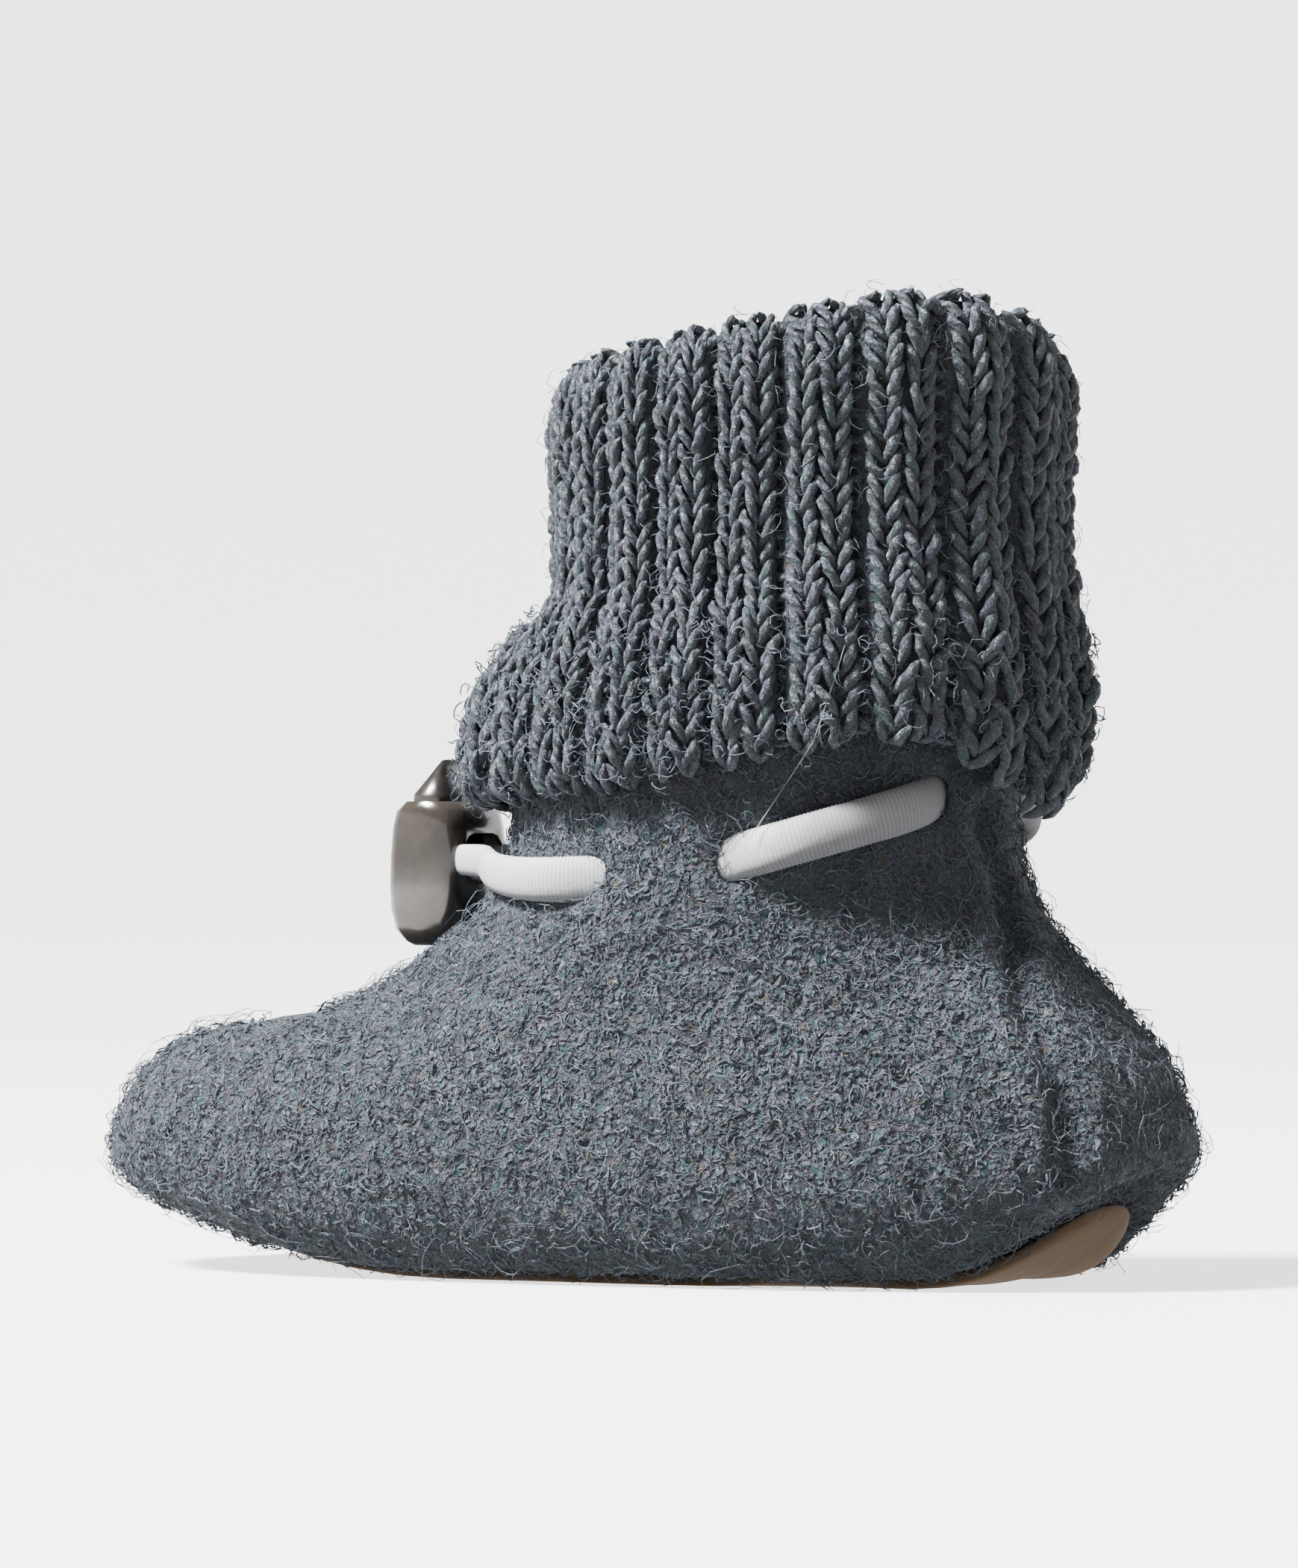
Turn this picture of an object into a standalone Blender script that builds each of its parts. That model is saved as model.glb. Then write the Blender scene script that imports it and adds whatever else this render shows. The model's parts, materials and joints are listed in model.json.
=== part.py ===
"""Baby slipper: a felted wool bootie on a thin suede sole, with a folded rib-knit cuff and a toggled drawcord.

Metres. +X points to the toe, +Y to the shoe's left side, +Z up. The origin lies on the floor under
mid length. Every ring below runs round the foot from the toe (angle 0) by the left side to the heel.
"""

import math
from collections import namedtuple

import bmesh
import bpy
from mathutils import Vector

MM = 0.001

# Driving sizes of the shoe
SHOE_LENGTH = 125 * MM
BALL_WIDTH = 59 * MM
FELT_HEIGHT = 66 * MM
FELT_WALL = 2.6 * MM
SOLE_THICKNESS = 1.4 * MM
INSOLE_THICKNESS = 2.0 * MM
TOE_SPRING = 6.4 * MM
HEEL_LIFT = 8.0 * MM

# Driving sizes of the knitted cuff
KNIT_WALL = 2.4 * MM
CUFF_HEIGHT = 101.5 * MM
CUFF_TILT = 8.5 * MM
CUFF_FLARE = 7.5 * MM
CUFF_HEM_HEIGHT = 51.0 * MM
LINING_HEIGHT = 57.5 * MM
RIB_COUNT = 22
RIB_RELIEF = 0.7 * MM

# Driving sizes of the drawcord
CORD_HEIGHT = 4.8 * MM
CORD_THICKNESS = 2.8 * MM
CORD_END_SHARE = 0.74
CORD_FRONT_HEIGHT = 44.0 * MM

# Driving sizes of the toggle
TOGGLE_DEPTH = 9.3 * MM
TOGGLE_WIDTH = 12.8 * MM
TOGGLE_HEIGHT = 15.3 * MM
TOGGLE_RIM = 0.4 * MM
TOGGLE_FLOOR = 1.4 * MM
TOGGLE_STANDOFF = 6.3 * MM
CORD_ENTRY_SHARE = 0.63
BUTTON_DOME = 4.5 * MM
BUTTON_TRAVEL = 2.4 * MM

# Clearances
SEAM_GAP = 0.45 * MM
INSOLE_GAP = 0.5 * MM
KNIT_GAP = 0.4 * MM
CORD_GAP = 0.5 * MM
HOLE_GAP = 0.35 * MM
SOLE_INSET = 0.6 * MM
SLIDE_GAP = 0.2 * MM
INSOLE_SPREAD = 0.6 * MM

# How finely the pieces are divided
FELT_SEGMENTS = 48
SOLE_SEGMENTS = 48
CUFF_SEGMENTS = 4 * RIB_COUNT
CORD_STEP_COUNT = 5
CORD_SIDE_COUNT = 8
CORD_SPACING_LEAST_SHARE = 0.66
TOGGLE_SEGMENTS = 20

# The floor plane is left at these shares of half the length, ahead of and behind the origin
TOE_FLAT_SHARE = 0.24
HEEL_FLAT_SHARE = 0.688
RISE_POWER = 1.6

# The felt shell, from its turned-in lower edge to the collar. toe, heel: shares of half the length.
# half_width: share of half the ball width. toe_z, side_z, heel_z: shares of the felt's height above
# the sole. lift: how much of the sole's rise the ring follows. square, taper: plan shape of the ring.
FeltSection = namedtuple("FeltSection", "toe heel half_width toe_z side_z heel_z lift square taper")
FELT_SECTIONS = (
    FeltSection(0.679, 0.753, 0.643, 0.000, 0.000, 0.000, 1.0, 2.35, 0.10),
    FeltSection(0.808, 0.896, 0.766, 0.000, 0.000, 0.000, 1.0, 2.35, 0.10),
    FeltSection(0.864, 0.925, 0.850, -0.024, -0.017, -0.024, 1.0, 2.40, 0.10),
    FeltSection(0.952, 0.968, 0.959, 0.043, 0.043, 0.050, 0.5, 2.40, 0.10),
    FeltSection(1.000, 1.000, 1.000, 0.139, 0.136, 0.149, 0.2, 2.40, 0.10),
    FeltSection(0.968, 0.962, 0.983, 0.275, 0.206, 0.310, 0.0, 2.35, 0.10),
    FeltSection(0.830, 0.875, 0.949, 0.366, 0.284, 0.408, 0.0, 2.30, 0.08),
    FeltSection(0.580, 0.778, 0.880, 0.400, 0.393, 0.500, 0.0, 2.15, 0.05),
    FeltSection(0.405, 0.706, 0.831, 0.472, 0.502, 0.585, 0.0, 2.05, 0.02),
    FeltSection(0.268, 0.664, 0.803, 0.553, 0.611, 0.665, 0.0, 2.00, 0.00),
    FeltSection(0.216, 0.667, 0.786, 0.673, 0.735, 0.782, 0.0, 2.00, 0.00),
    FeltSection(0.176, 0.688, 0.763, 0.938, 0.953, 1.000, 0.0, 2.00, 0.00),
)
FELT_BANDS = (2, 1, 1, 2, 1, 2, 1, 2, 1, 2, 2)
FELT_MARGIN = FELT_SECTIONS[0]
FELT_EDGE = FELT_SECTIONS[1]
COLLAR_BAND_COUNT = 3

# The rings of the sole and of the insole. size: share of the felt's lower edge. drawn_in: how far it
# is drawn in from that edge, in insole spreads. up: share of the layer's thickness.
SOLE_RINGS = (0.33, 0.6, 0.765, 0.85, 0.93, 1.0)
PadRing = namedtuple("PadRing", "size drawn_in up")
INSOLE_TOP = (
    PadRing(0.97, -0.25, 0.0),
    PadRing(1.00, -1.00, 0.4),
    PadRing(0.98, -0.25, 1.0),
    PadRing(0.86, 0.00, 1.0),
    PadRing(0.75, 0.00, 1.0),
    PadRing(0.35, 0.00, 1.0),
)
INSOLE_FOOT_SHARE = 0.6

# The cuff's hem: its height over or under the stated one, as shares of the flare, by angle
EdgePoint = namedtuple("EdgePoint", "angle rise")
HEM_LINE = (
    EdgePoint(0, -0.22),
    EdgePoint(22, -0.21),
    EdgePoint(50, -0.08),
    EdgePoint(80, 0.04),
    EdgePoint(105, 0.33),
    EdgePoint(137, 0.71),
    EdgePoint(154, 0.56),
    EdgePoint(168, -0.02),
    EdgePoint(180, -0.43),
    EdgePoint(192, -0.02),
    EdgePoint(206, 0.56),
    EdgePoint(223, 0.71),
    EdgePoint(255, 0.33),
    EdgePoint(280, 0.04),
    EdgePoint(310, -0.08),
    EdgePoint(338, -0.21),
    EdgePoint(360, -0.22),
)
# The fold at the top of the cuff: its height under the highest point, as shares of the tilt
FOLD_LINE = (
    EdgePoint(0, -1.00),
    EdgePoint(55, -0.78),
    EdgePoint(90, -0.49),
    EdgePoint(120, -0.20),
    EdgePoint(148, 0.00),
    EdgePoint(172, -0.16),
    EdgePoint(192, -0.45),
    EdgePoint(216, -0.66),
    EdgePoint(255, -0.74),
    EdgePoint(305, -0.86),
    EdgePoint(360, -1.00),
)

# The cuff's outside, from hem to fold. up: share of the way from hem to fold. toe, side, heel: how
# far it stands out from the felt collar, as shares of the flare. rib: share of the rib relief.
CuffSection = namedtuple("CuffSection", "up toe side heel rib")
CUFF_OUTSIDE = (
    CuffSection(0.000, 0.62, 0.28, 0.72, 0.3),
    CuffSection(0.030, 0.82, 0.44, 0.88, 1.0),
    CuffSection(0.110, 0.88, 0.47, 0.89, 1.0),
    CuffSection(0.230, 0.87, 0.46, 0.78, 1.0),
    CuffSection(0.300, 0.68, 0.41, 0.72, 1.0),
    CuffSection(0.375, 0.20, 0.31, 0.63, 1.0),
    CuffSection(0.445, -0.52, 0.17, 0.56, 1.0),
    CuffSection(0.530, -0.57, 0.14, 0.51, 1.0),
    CuffSection(0.640, -0.56, 0.13, 0.49, 1.0),
    CuffSection(0.760, -0.53, 0.16, 0.55, 1.0),
    CuffSection(0.860, -0.49, 0.20, 0.60, 1.0),
    CuffSection(0.950, -0.58, 0.11, 0.50, 1.0),
    CuffSection(1.000, -0.86, -0.18, 0.22, 1.0),
)
# The cuff's inside, as far in from the outside as two layers of knit are thick, from fold to lining
CuffInside = namedtuple("CuffInside", "up layers rib")
CUFF_INSIDE = (
    CuffInside(0.955, 1.85, 0.6),
    CuffInside(0.880, 2.20, 0.4),
    CuffInside(0.640, 2.25, 0.2),
    CuffInside(0.460, 2.25, 0.2),
)
# The slot that the felt collar stands in. over: height over the felt's edge, as a share of a knit
# layer. toe, side, heel: place across the slot from the felt's outer face, as shares of the flare.
SlotPoint = namedtuple("SlotPoint", "over_toe over_side over_heel toe side heel")
SLOT_ROOF = SlotPoint(1.15, 0.62, 0.62, 0.00, -0.12, 0.06)
SLOT_OUTER = SlotPoint(0.25, 0.25, 0.25, 0.55, 0.055, 0.33)
HEM_INNER_UP = (0.13, 0.035)

# The drawcord's route from the toggle to the centre back. height: over the cord's height at the
# front, as a share of the cord's own height. layer: 1 outside the felt, 0 in a hole, -1 inside it.
# thickness: share of the cord's own, for the elastic is stretched towards the toggle.
CordPoint = namedtuple("CordPoint", "angle height layer thickness")
CORD_ROUTE = (
    CordPoint(33, -0.25, 1, 0.80),
    CordPoint(50, -0.42, 1, 0.83),
    CordPoint(66, -0.50, 1, 0.86),
    CordPoint(76.5, -0.48, 0, 0.89),
    CordPoint(88, -0.38, -1, 0.93),
    CordPoint(97.5, -0.25, -1, 0.97),
    CordPoint(109, -0.04, 0, 1.00),
    CordPoint(119.5, 0.25, 1, 1.00),
    CordPoint(133, 0.65, 1, 1.00),
    CordPoint(146.5, 1.02, 1, 1.00),
    CordPoint(157.5, 1.26, 0, 1.00),
    CordPoint(168, 1.42, -1, 1.00),
    CordPoint(180, 1.50, -1, 1.00),
)
CORD_SPACING_SHARE = 0.19
# The cord's ends: how far behind the toggle's back face, in standoffs, with its spacing and thickness
CordEnd = namedtuple("CordEnd", "behind spacing thickness")
CORD_ENDS = (
    CordEnd(-0.514, 1.00, 1.00),
    CordEnd(-0.103, 1.00, 1.00),
    CordEnd(0.360, 1.55, 1.08),
)

# The toggle's rounded outline, and how its housing bulges and its button's head narrows from foot to
# top: shares of its depth and width
TOGGLE_CORNER_SHARE = 0.45
ToggleRing = namedtuple("ToggleRing", "up depth width")
TOGGLE_OUTSIDE = (
    ToggleRing(0.00, 0.46, 0.74),
    ToggleRing(0.03, 0.62, 0.84),
    ToggleRing(0.11, 0.87, 0.93),
    ToggleRing(0.25, 0.98, 0.985),
    ToggleRing(0.42, 1.00, 1.00),
    ToggleRing(0.63, 0.985, 0.99),
    ToggleRing(0.82, 0.94, 0.96),
    ToggleRing(0.93, 0.86, 0.92),
    ToggleRing(1.00, 0.60, 0.85),
)
BUTTON_HEAD = (
    ToggleRing(0.00, 1.00, 1.00),
    ToggleRing(0.17, 0.97, 0.98),
    ToggleRing(0.57, 0.46, 0.64),
    ToggleRing(0.80, 0.25, 0.42),
    ToggleRing(0.97, 0.09, 0.24),
)

# Colours and finish
Finish = namedtuple("Finish", "red green blue roughness metallic")
FINISHES = {
    "felt": Finish(0.150, 0.172, 0.200, 0.95, 0.0),
    "knit": Finish(0.100, 0.118, 0.142, 0.95, 0.0),
    "suede": Finish(0.420, 0.230, 0.075, 0.90, 0.0),
    "lining_felt": Finish(0.120, 0.138, 0.160, 0.95, 0.0),
    "elastic": Finish(0.640, 0.650, 0.670, 0.80, 0.0),
    "smoke_plastic": Finish(0.060, 0.048, 0.042, 0.12, 0.0),
}


def fresh_scene():
    for item in list(bpy.data.objects):
        bpy.data.objects.remove(item, do_unlink=True)
    collections = []
    for name in ("baby_slipper", "cutters"):
        collection = bpy.data.collections.new(name)
        bpy.context.scene.collection.children.link(collection)
        collections.append(collection)
    return collections


def material(name):
    finish = FINISHES[name]
    made = bpy.data.materials.new(name)
    made.use_nodes = True
    shader = made.node_tree.nodes["Principled BSDF"]
    shader.inputs["Base Color"].default_value = (finish.red, finish.green, finish.blue, 1.0)
    shader.inputs["Roughness"].default_value = finish.roughness
    shader.inputs["Metallic"].default_value = finish.metallic
    return made


def blend_rows(rows, place):
    """The row at a place between rows, each column on a smooth Catmull-Rom curve."""
    last = len(rows) - 1
    start = min(int(place), last - 1)
    part = place - start
    before = rows[max(start - 1, 0)]
    here = rows[start]
    after = rows[start + 1]
    beyond = rows[min(start + 2, last)]
    columns = []
    for a, b, c, d in zip(before, here, after, beyond):
        slope_b = (c - a) / 2
        slope_c = (d - b) / 2
        columns.append(
            b * (2 * part**3 - 3 * part**2 + 1)
            + slope_b * (part**3 - 2 * part**2 + part)
            + c * (3 * part**2 - 2 * part**3)
            + slope_c * (part**3 - part**2)
        )
    return type(rows[0])(*columns)


def at_angle(toe, side, heel, angle):
    """A value that is toe at the front, side at both sides and heel at the back of a ring."""
    end = toe if math.cos(angle) > 0 else heel
    return side + (end - side) * math.cos(angle) ** 2


def signed_power(value, power):
    return math.copysign(abs(value) ** power, value)


def plan_point(toe, heel, half_width, square, taper, angle):
    """A point of an egg-shaped ring seen from above: an ellipse made squarer, narrower at the heel."""
    middle = (toe - heel) / 2
    half = (toe + heel) / 2
    across = half_width * signed_power(math.sin(angle), 2 / square) * (1 + taper * math.cos(angle))
    return middle + half * signed_power(math.cos(angle), 2 / square), across


def ground_rise(x):
    """How far the underside of the sole has left the floor, and how steeply, at a place along the shoe."""
    half = SHOE_LENGTH / 2
    edge = FELT_EDGE
    if x > TOE_FLAT_SHARE * half:
        start, end, height, way = TOE_FLAT_SHARE * half, edge.toe * half, TOE_SPRING, 1
    elif x < -HEEL_FLAT_SHARE * half:
        start, end, height, way = HEEL_FLAT_SHARE * half, edge.heel * half, HEEL_LIFT, -1
    else:
        return 0.0, 0.0
    along = (abs(x) - start) / (end - start)
    slope = way * height * RISE_POWER / (end - start) * along ** (RISE_POWER - 1)
    return height * along**RISE_POWER, slope


def layer_height(x, thickness):
    """Height of a layer that lies this far above the sole's underside, measured square to it."""
    rise, slope = ground_rise(x)
    return rise + thickness * math.hypot(1, slope)


def felt_point(place, angle):
    """A point of the felt's outer face: place counts the felt sections from the lower edge."""
    section = blend_rows(FELT_SECTIONS, place)
    half = SHOE_LENGTH / 2
    x, y = plan_point(
        section.toe * half,
        section.heel * half,
        section.half_width * BALL_WIDTH / 2,
        section.square,
        section.taper,
        angle,
    )
    stack = SOLE_THICKNESS + SEAM_GAP
    share = at_angle(section.toe_z, section.side_z, section.heel_z, angle)
    lift = section.lift * (layer_height(x, stack) - stack)
    return Vector((x, y, stack + lift + share * (FELT_HEIGHT - stack)))


def felt_at_height(angle, height):
    """The felt's outer face at an angle and a height, kept upright above the collar."""
    high = len(FELT_SECTIONS) - 1.0
    low = high - COLLAR_BAND_COUNT
    top = felt_point(high, angle)
    if height >= top.z:
        return Vector((top.x, top.y, height))
    for _ in range(30):
        middle = (low + high) / 2
        if felt_point(middle, angle).z < height:
            low = middle
        else:
            high = middle
    found = felt_point(low, angle)
    return Vector((found.x, found.y, height))


def outward(angle, height):
    """The level direction square to the felt at an angle and a height."""
    step = math.radians(1)
    along = felt_at_height(angle + step, height) - felt_at_height(angle - step, height)
    return Vector((along.y, -along.x, 0)).normalized()


def beside_felt(angle, height, offset):
    """A point at a height, this far outside the felt's outer face."""
    return felt_at_height(angle, height) + outward(angle, height) * offset


def angles(count):
    return [2 * math.pi * index / count for index in range(count)]


def mesh_object(name, mesh, collection, finish=None):
    made = bpy.data.objects.new(name, mesh)
    collection.objects.link(made)
    if finish:
        mesh.materials.append(material(finish))
    return made


def skin(name, rings, loop=False, poles=None):
    """A mesh over rings of points: open at its ends, closed into a loop, or closed with two poles."""
    made = bmesh.new()
    rows = [[made.verts.new(point) for point in ring] for ring in rings]
    pairs = list(zip(rows, rows[1:]))
    if loop:
        pairs.append((rows[-1], rows[0]))
    for lower, upper in pairs:
        for index in range(len(lower)):
            after = (index + 1) % len(lower)
            made.faces.new((lower[index], lower[after], upper[after], upper[index]))
    if poles:
        for point, row in zip(poles, (rows[0], rows[-1])):
            pole = made.verts.new(point)
            for index in range(len(row)):
                made.faces.new((pole, row[index], row[(index + 1) % len(row)]))
    if loop or poles:
        bmesh.ops.recalc_face_normals(made, faces=made.faces)
    mesh = bpy.data.meshes.new(name)
    made.to_mesh(mesh)
    made.free()
    return mesh


def cut(target, cutter, name):
    """Takes the cutter's shape out of the target, with the cutter kept as a hidden guide."""
    cutter.hide_render = True
    cutter.display_type = "WIRE"
    modifier = target.modifiers.new(name, "BOOLEAN")
    modifier.operation = "DIFFERENCE"
    modifier.solver = "EXACT"
    modifier.object = cutter


def make_upper(collection):
    places = [0.0]
    for section, bands in enumerate(FELT_BANDS):
        places += [section + (band + 1) / bands for band in range(bands)]
    rings = [[felt_point(place, angle) for angle in angles(FELT_SEGMENTS)] for place in places]
    upper = mesh_object("upper", skin("upper", rings), collection, "felt")
    wall = upper.modifiers.new("felt wall", "SOLIDIFY")
    wall.thickness = FELT_WALL
    wall.offset = -1
    wall.use_even_offset = True
    upper.data.shade_smooth()
    return upper


def pad_ring(shrink, scale, thickness, segments):
    """A ring that follows the felt's lower edge, drawn in, at a height square to the sole's underside."""
    edge = FELT_EDGE
    half = SHOE_LENGTH / 2
    toe, heel = edge.toe * half - shrink, edge.heel * half - shrink
    middle = (toe - heel) / 2
    reach = (toe + heel) / 2 * scale
    half_width = (edge.half_width * BALL_WIDTH / 2 - shrink) * scale
    points = []
    for angle in angles(segments):
        x, y = plan_point(middle + reach, reach - middle, half_width, edge.square, edge.taper, angle)
        points.append(Vector((x, y, layer_height(x, thickness))))
    return points


def make_sole(collection):
    below = [pad_ring(SOLE_INSET, size, 0, SOLE_SEGMENTS) for size in SOLE_RINGS]
    above = [pad_ring(SOLE_INSET, size, SOLE_THICKNESS, SOLE_SEGMENTS) for size in reversed(SOLE_RINGS)]
    middle = sum((point.x for point in below[0]), 0.0) / SOLE_SEGMENTS
    poles = (Vector((middle, 0, 0)), Vector((middle, 0, SOLE_THICKNESS)))
    return mesh_object("sole", skin("sole", below + above, poles=poles), collection, "suede")


def make_insole(collection):
    """The insole lies on the felt's turned-in edge and drops between it, on to the sole."""
    inner = FELT_MARGIN.half_width / FELT_EDGE.half_width
    drawn_in = FELT_WALL + INSOLE_GAP * 3
    bed = SOLE_THICKNESS + SEAM_GAP
    ledge = bed + FELT_WALL + INSOLE_GAP
    rings = [
        pad_ring(drawn_in, inner * INSOLE_FOOT_SHARE, bed, SOLE_SEGMENTS),
        pad_ring(drawn_in, inner, bed, SOLE_SEGMENTS),
        pad_ring(drawn_in, inner, ledge, SOLE_SEGMENTS),
    ]
    for row in INSOLE_TOP:
        height = ledge + row.up * INSOLE_THICKNESS
        rings.append(pad_ring(row.drawn_in * INSOLE_SPREAD, row.size, height, SOLE_SEGMENTS))
    middle = sum((point.x for point in rings[0]), 0.0) / SOLE_SEGMENTS
    poles = (Vector((middle, 0, bed)), Vector((middle, 0, ledge + INSOLE_THICKNESS)))
    return mesh_object("insole", skin("insole", rings, poles=poles), collection, "lining_felt")


def edge_rise(line, angle):
    """The rise of an edge of the cuff at an angle, on a smooth curve through the line's points."""
    turn = math.degrees(angle) % 360
    for index, (start, end) in enumerate(zip(line, line[1:])):
        if turn <= end.angle:
            place = index + (turn - start.angle) / (end.angle - start.angle)
            return blend_rows(line, place).rise
    return line[-1].rise


def hem_height(angle):
    """Height of the cuff's lower edge: it rises behind the ankle and droops at the centre back."""
    return CUFF_HEM_HEIGHT + edge_rise(HEM_LINE, angle) * CUFF_FLARE


def fold_height(angle):
    return CUFF_HEIGHT + edge_rise(FOLD_LINE, angle) * CUFF_TILT


def rib_wave(angle):
    return RIB_RELIEF * math.cos(RIB_COUNT * angle)


def cuff_outside_offset(place, angle):
    row = blend_rows(CUFF_OUTSIDE, place)
    return row, at_angle(row.toe, row.side, row.heel, angle) * CUFF_FLARE


def cuff_outside_ring(place):
    points = []
    for angle in angles(CUFF_SEGMENTS):
        row, offset = cuff_outside_offset(place, angle)
        hem = hem_height(angle)
        height = hem + row.up * (fold_height(angle) - hem)
        points.append(beside_felt(angle, height, offset + row.rib * rib_wave(angle)))
    return points


def outside_place(up):
    """Where the cuff's outside is this far up, counted in sections."""
    for index, (start, end) in enumerate(zip(CUFF_OUTSIDE, CUFF_OUTSIDE[1:])):
        if up <= end.up:
            return index + (up - start.up) / (end.up - start.up)
    return len(CUFF_OUTSIDE) - 1.0


def cuff_inside_ring(up, layers, rib):
    """A ring inside the outer skin by a number of knit layers, at the outer skin's own height."""
    points = []
    place = outside_place(up)
    for angle in angles(CUFF_SEGMENTS):
        row, offset = cuff_outside_offset(place, angle)
        hem = hem_height(angle)
        height = hem + up * (fold_height(angle) - hem)
        points.append(beside_felt(angle, height, offset - layers * KNIT_WALL + rib * rib_wave(angle)))
    return points


def lining_ring(height, depth):
    """A ring inside the felt collar, this deep behind the felt's inner face."""
    return [beside_felt(angle, height, -FELT_WALL - depth) for angle in angles(CUFF_SEGMENTS)]


def slot_ring(point, offset=None):
    """A ring of the slot over the felt's edge."""
    points = []
    for angle in angles(CUFF_SEGMENTS):
        edge = felt_point(len(FELT_SECTIONS) - 1.0, angle).z
        over = at_angle(point.over_toe, point.over_side, point.over_heel, angle) * KNIT_WALL
        across = at_angle(point.toe, point.side, point.heel, angle) * CUFF_FLARE
        if offset is not None:
            across = offset
        points.append(beside_felt(angle, edge + KNIT_GAP + over, across))
    return points


def make_cuff(collection):
    """One closed loop of knit: up the outside, over the fold, down the lining and back to the hem."""
    rings = [cuff_outside_ring(float(index)) for index in range(len(CUFF_OUTSIDE))]
    rings += [cuff_inside_ring(row.up, row.layers, row.rib) for row in CUFF_INSIDE]
    lining_in = KNIT_GAP + KNIT_WALL
    rings.append(lining_ring(LINING_HEIGHT + KNIT_WALL, lining_in))
    rings.append(lining_ring(LINING_HEIGHT, lining_in - KNIT_WALL * 0.25))
    rings.append(lining_ring(LINING_HEIGHT, KNIT_GAP + KNIT_WALL * 0.2))
    rings.append(slot_ring(SlotPoint(0, 0, 0, 0, 0, 0), -FELT_WALL - KNIT_GAP))
    rings.append(slot_ring(SLOT_ROOF))
    rings.append(slot_ring(SLOT_OUTER))
    rings += [cuff_inside_ring(up, 1.0, 0.0) for up in HEM_INNER_UP]
    return mesh_object("cuff", skin("cuff", rings, loop=True), collection, "knit")


def toggle_place():
    """Centre of the toggle's back face, where the cord goes in."""
    return felt_at_height(0.0, CORD_FRONT_HEIGHT) + Vector((TOGGLE_STANDOFF, 0, 0))


def cord_route():
    """The drawcord's centreline, with its thickness share, from the toggle's left hole round to its right."""
    back = toggle_place()
    spread = CORD_SPACING_SHARE * TOGGLE_WIDTH
    rows = []
    for end in CORD_ENDS:
        shift = Vector((-end.behind * TOGGLE_STANDOFF, spread * end.spacing, 0))
        rows.append((back + shift, CORD_END_SHARE * end.thickness))
    outside = CORD_GAP + CORD_THICKNESS / 2
    for point in CORD_ROUTE:
        middle = -FELT_WALL / 2
        offset = middle + point.layer * (outside - middle)
        height = CORD_FRONT_HEIGHT + point.height * CORD_HEIGHT
        rows.append((beside_felt(math.radians(point.angle), height, offset), point.thickness))
    mirrored = [(Vector((place.x, -place.y, place.z)), share) for place, share in reversed(rows[:-1])]
    return rows + mirrored


def cord_samples():
    """Points and thickness shares along a smooth curve through the route."""
    rows = cord_route()
    flat = [(place.x, place.y, place.z, share) for place, share in rows]
    Sample = namedtuple("Sample", "x y z share")
    flat = [Sample(*row) for row in flat]
    samples = []
    for index in range(len(flat) - 1):
        samples += [blend_rows(flat, index + step / CORD_STEP_COUNT) for step in range(CORD_STEP_COUNT)]
    samples.append(flat[-1])
    return thinned(samples)


def thinned(samples):
    """Drops samples closer to the one before than two thirds of the cord's thickness."""
    kept = [samples[0]]
    for sample in samples[1:-1]:
        gap = Vector(sample[:3]) - Vector(kept[-1][:3])
        if gap.length > CORD_THICKNESS * CORD_SPACING_LEAST_SHARE:
            kept.append(sample)
    kept.append(samples[-1])
    return kept


def cord_profile(name, extra, collection):
    """The cord's oval section, grown by extra all round."""
    outline = bpy.data.curves.new(name, "CURVE")
    outline.dimensions = "2D"
    spline = outline.splines.new("POLY")
    spline.points.add(CORD_SIDE_COUNT - 1)
    for index, turn in enumerate(angles(CORD_SIDE_COUNT)):
        across = (CORD_THICKNESS / 2 + extra) * math.cos(turn)
        up = (CORD_HEIGHT / 2 + extra) * math.sin(turn)
        spline.points[index].co = (across, up, 0, 1)
    spline.use_cyclic_u = True
    guide = bpy.data.objects.new(name, outline)
    guide.hide_render = True
    guide.display_type = "WIRE"
    collection.objects.link(guide)
    return guide


def cord_curve(name, profile, collection):
    path = bpy.data.curves.new(name, "CURVE")
    path.dimensions = "3D"
    path.twist_mode = "Z_UP"
    path.bevel_mode = "OBJECT"
    path.bevel_object = profile
    path.use_fill_caps = True
    samples = cord_samples()
    spline = path.splines.new("POLY")
    spline.points.add(len(samples) - 1)
    for point, sample in zip(spline.points, samples):
        point.co = (sample.x, sample.y, sample.z, 1)
        point.radius = sample.share
    made = bpy.data.objects.new(name, path)
    collection.objects.link(made)
    return made


def meshed(curve_object, collection):
    """The curve object turned into a closed mesh object of the same name, and the curve removed."""
    bpy.context.view_layer.update()
    name = curve_object.name
    graph = bpy.context.evaluated_depsgraph_get()
    mesh = bpy.data.meshes.new_from_object(curve_object.evaluated_get(graph))
    made = bmesh.new()
    made.from_mesh(mesh)
    bmesh.ops.remove_doubles(made, verts=made.verts, dist=0.01 * MM)
    bmesh.ops.recalc_face_normals(made, faces=made.faces)
    made.to_mesh(mesh)
    made.free()
    matrix = curve_object.matrix_world.copy()
    bpy.data.objects.remove(curve_object, do_unlink=True)
    solid = mesh_object(name, mesh, collection)
    solid.matrix_world = matrix
    return solid


def make_cord(collection, cutters):
    profile = cord_profile("cord_section", 0.0, cutters)
    cord = meshed(cord_curve("drawcord", profile, cutters), collection)
    cord.data.materials.append(material("elastic"))
    cord.data.shade_smooth()
    wide = cord_profile("hole_section", HOLE_GAP, cutters)
    holes = meshed(cord_curve("cord_holes", wide, cutters), cutters)
    return cord, holes


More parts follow.
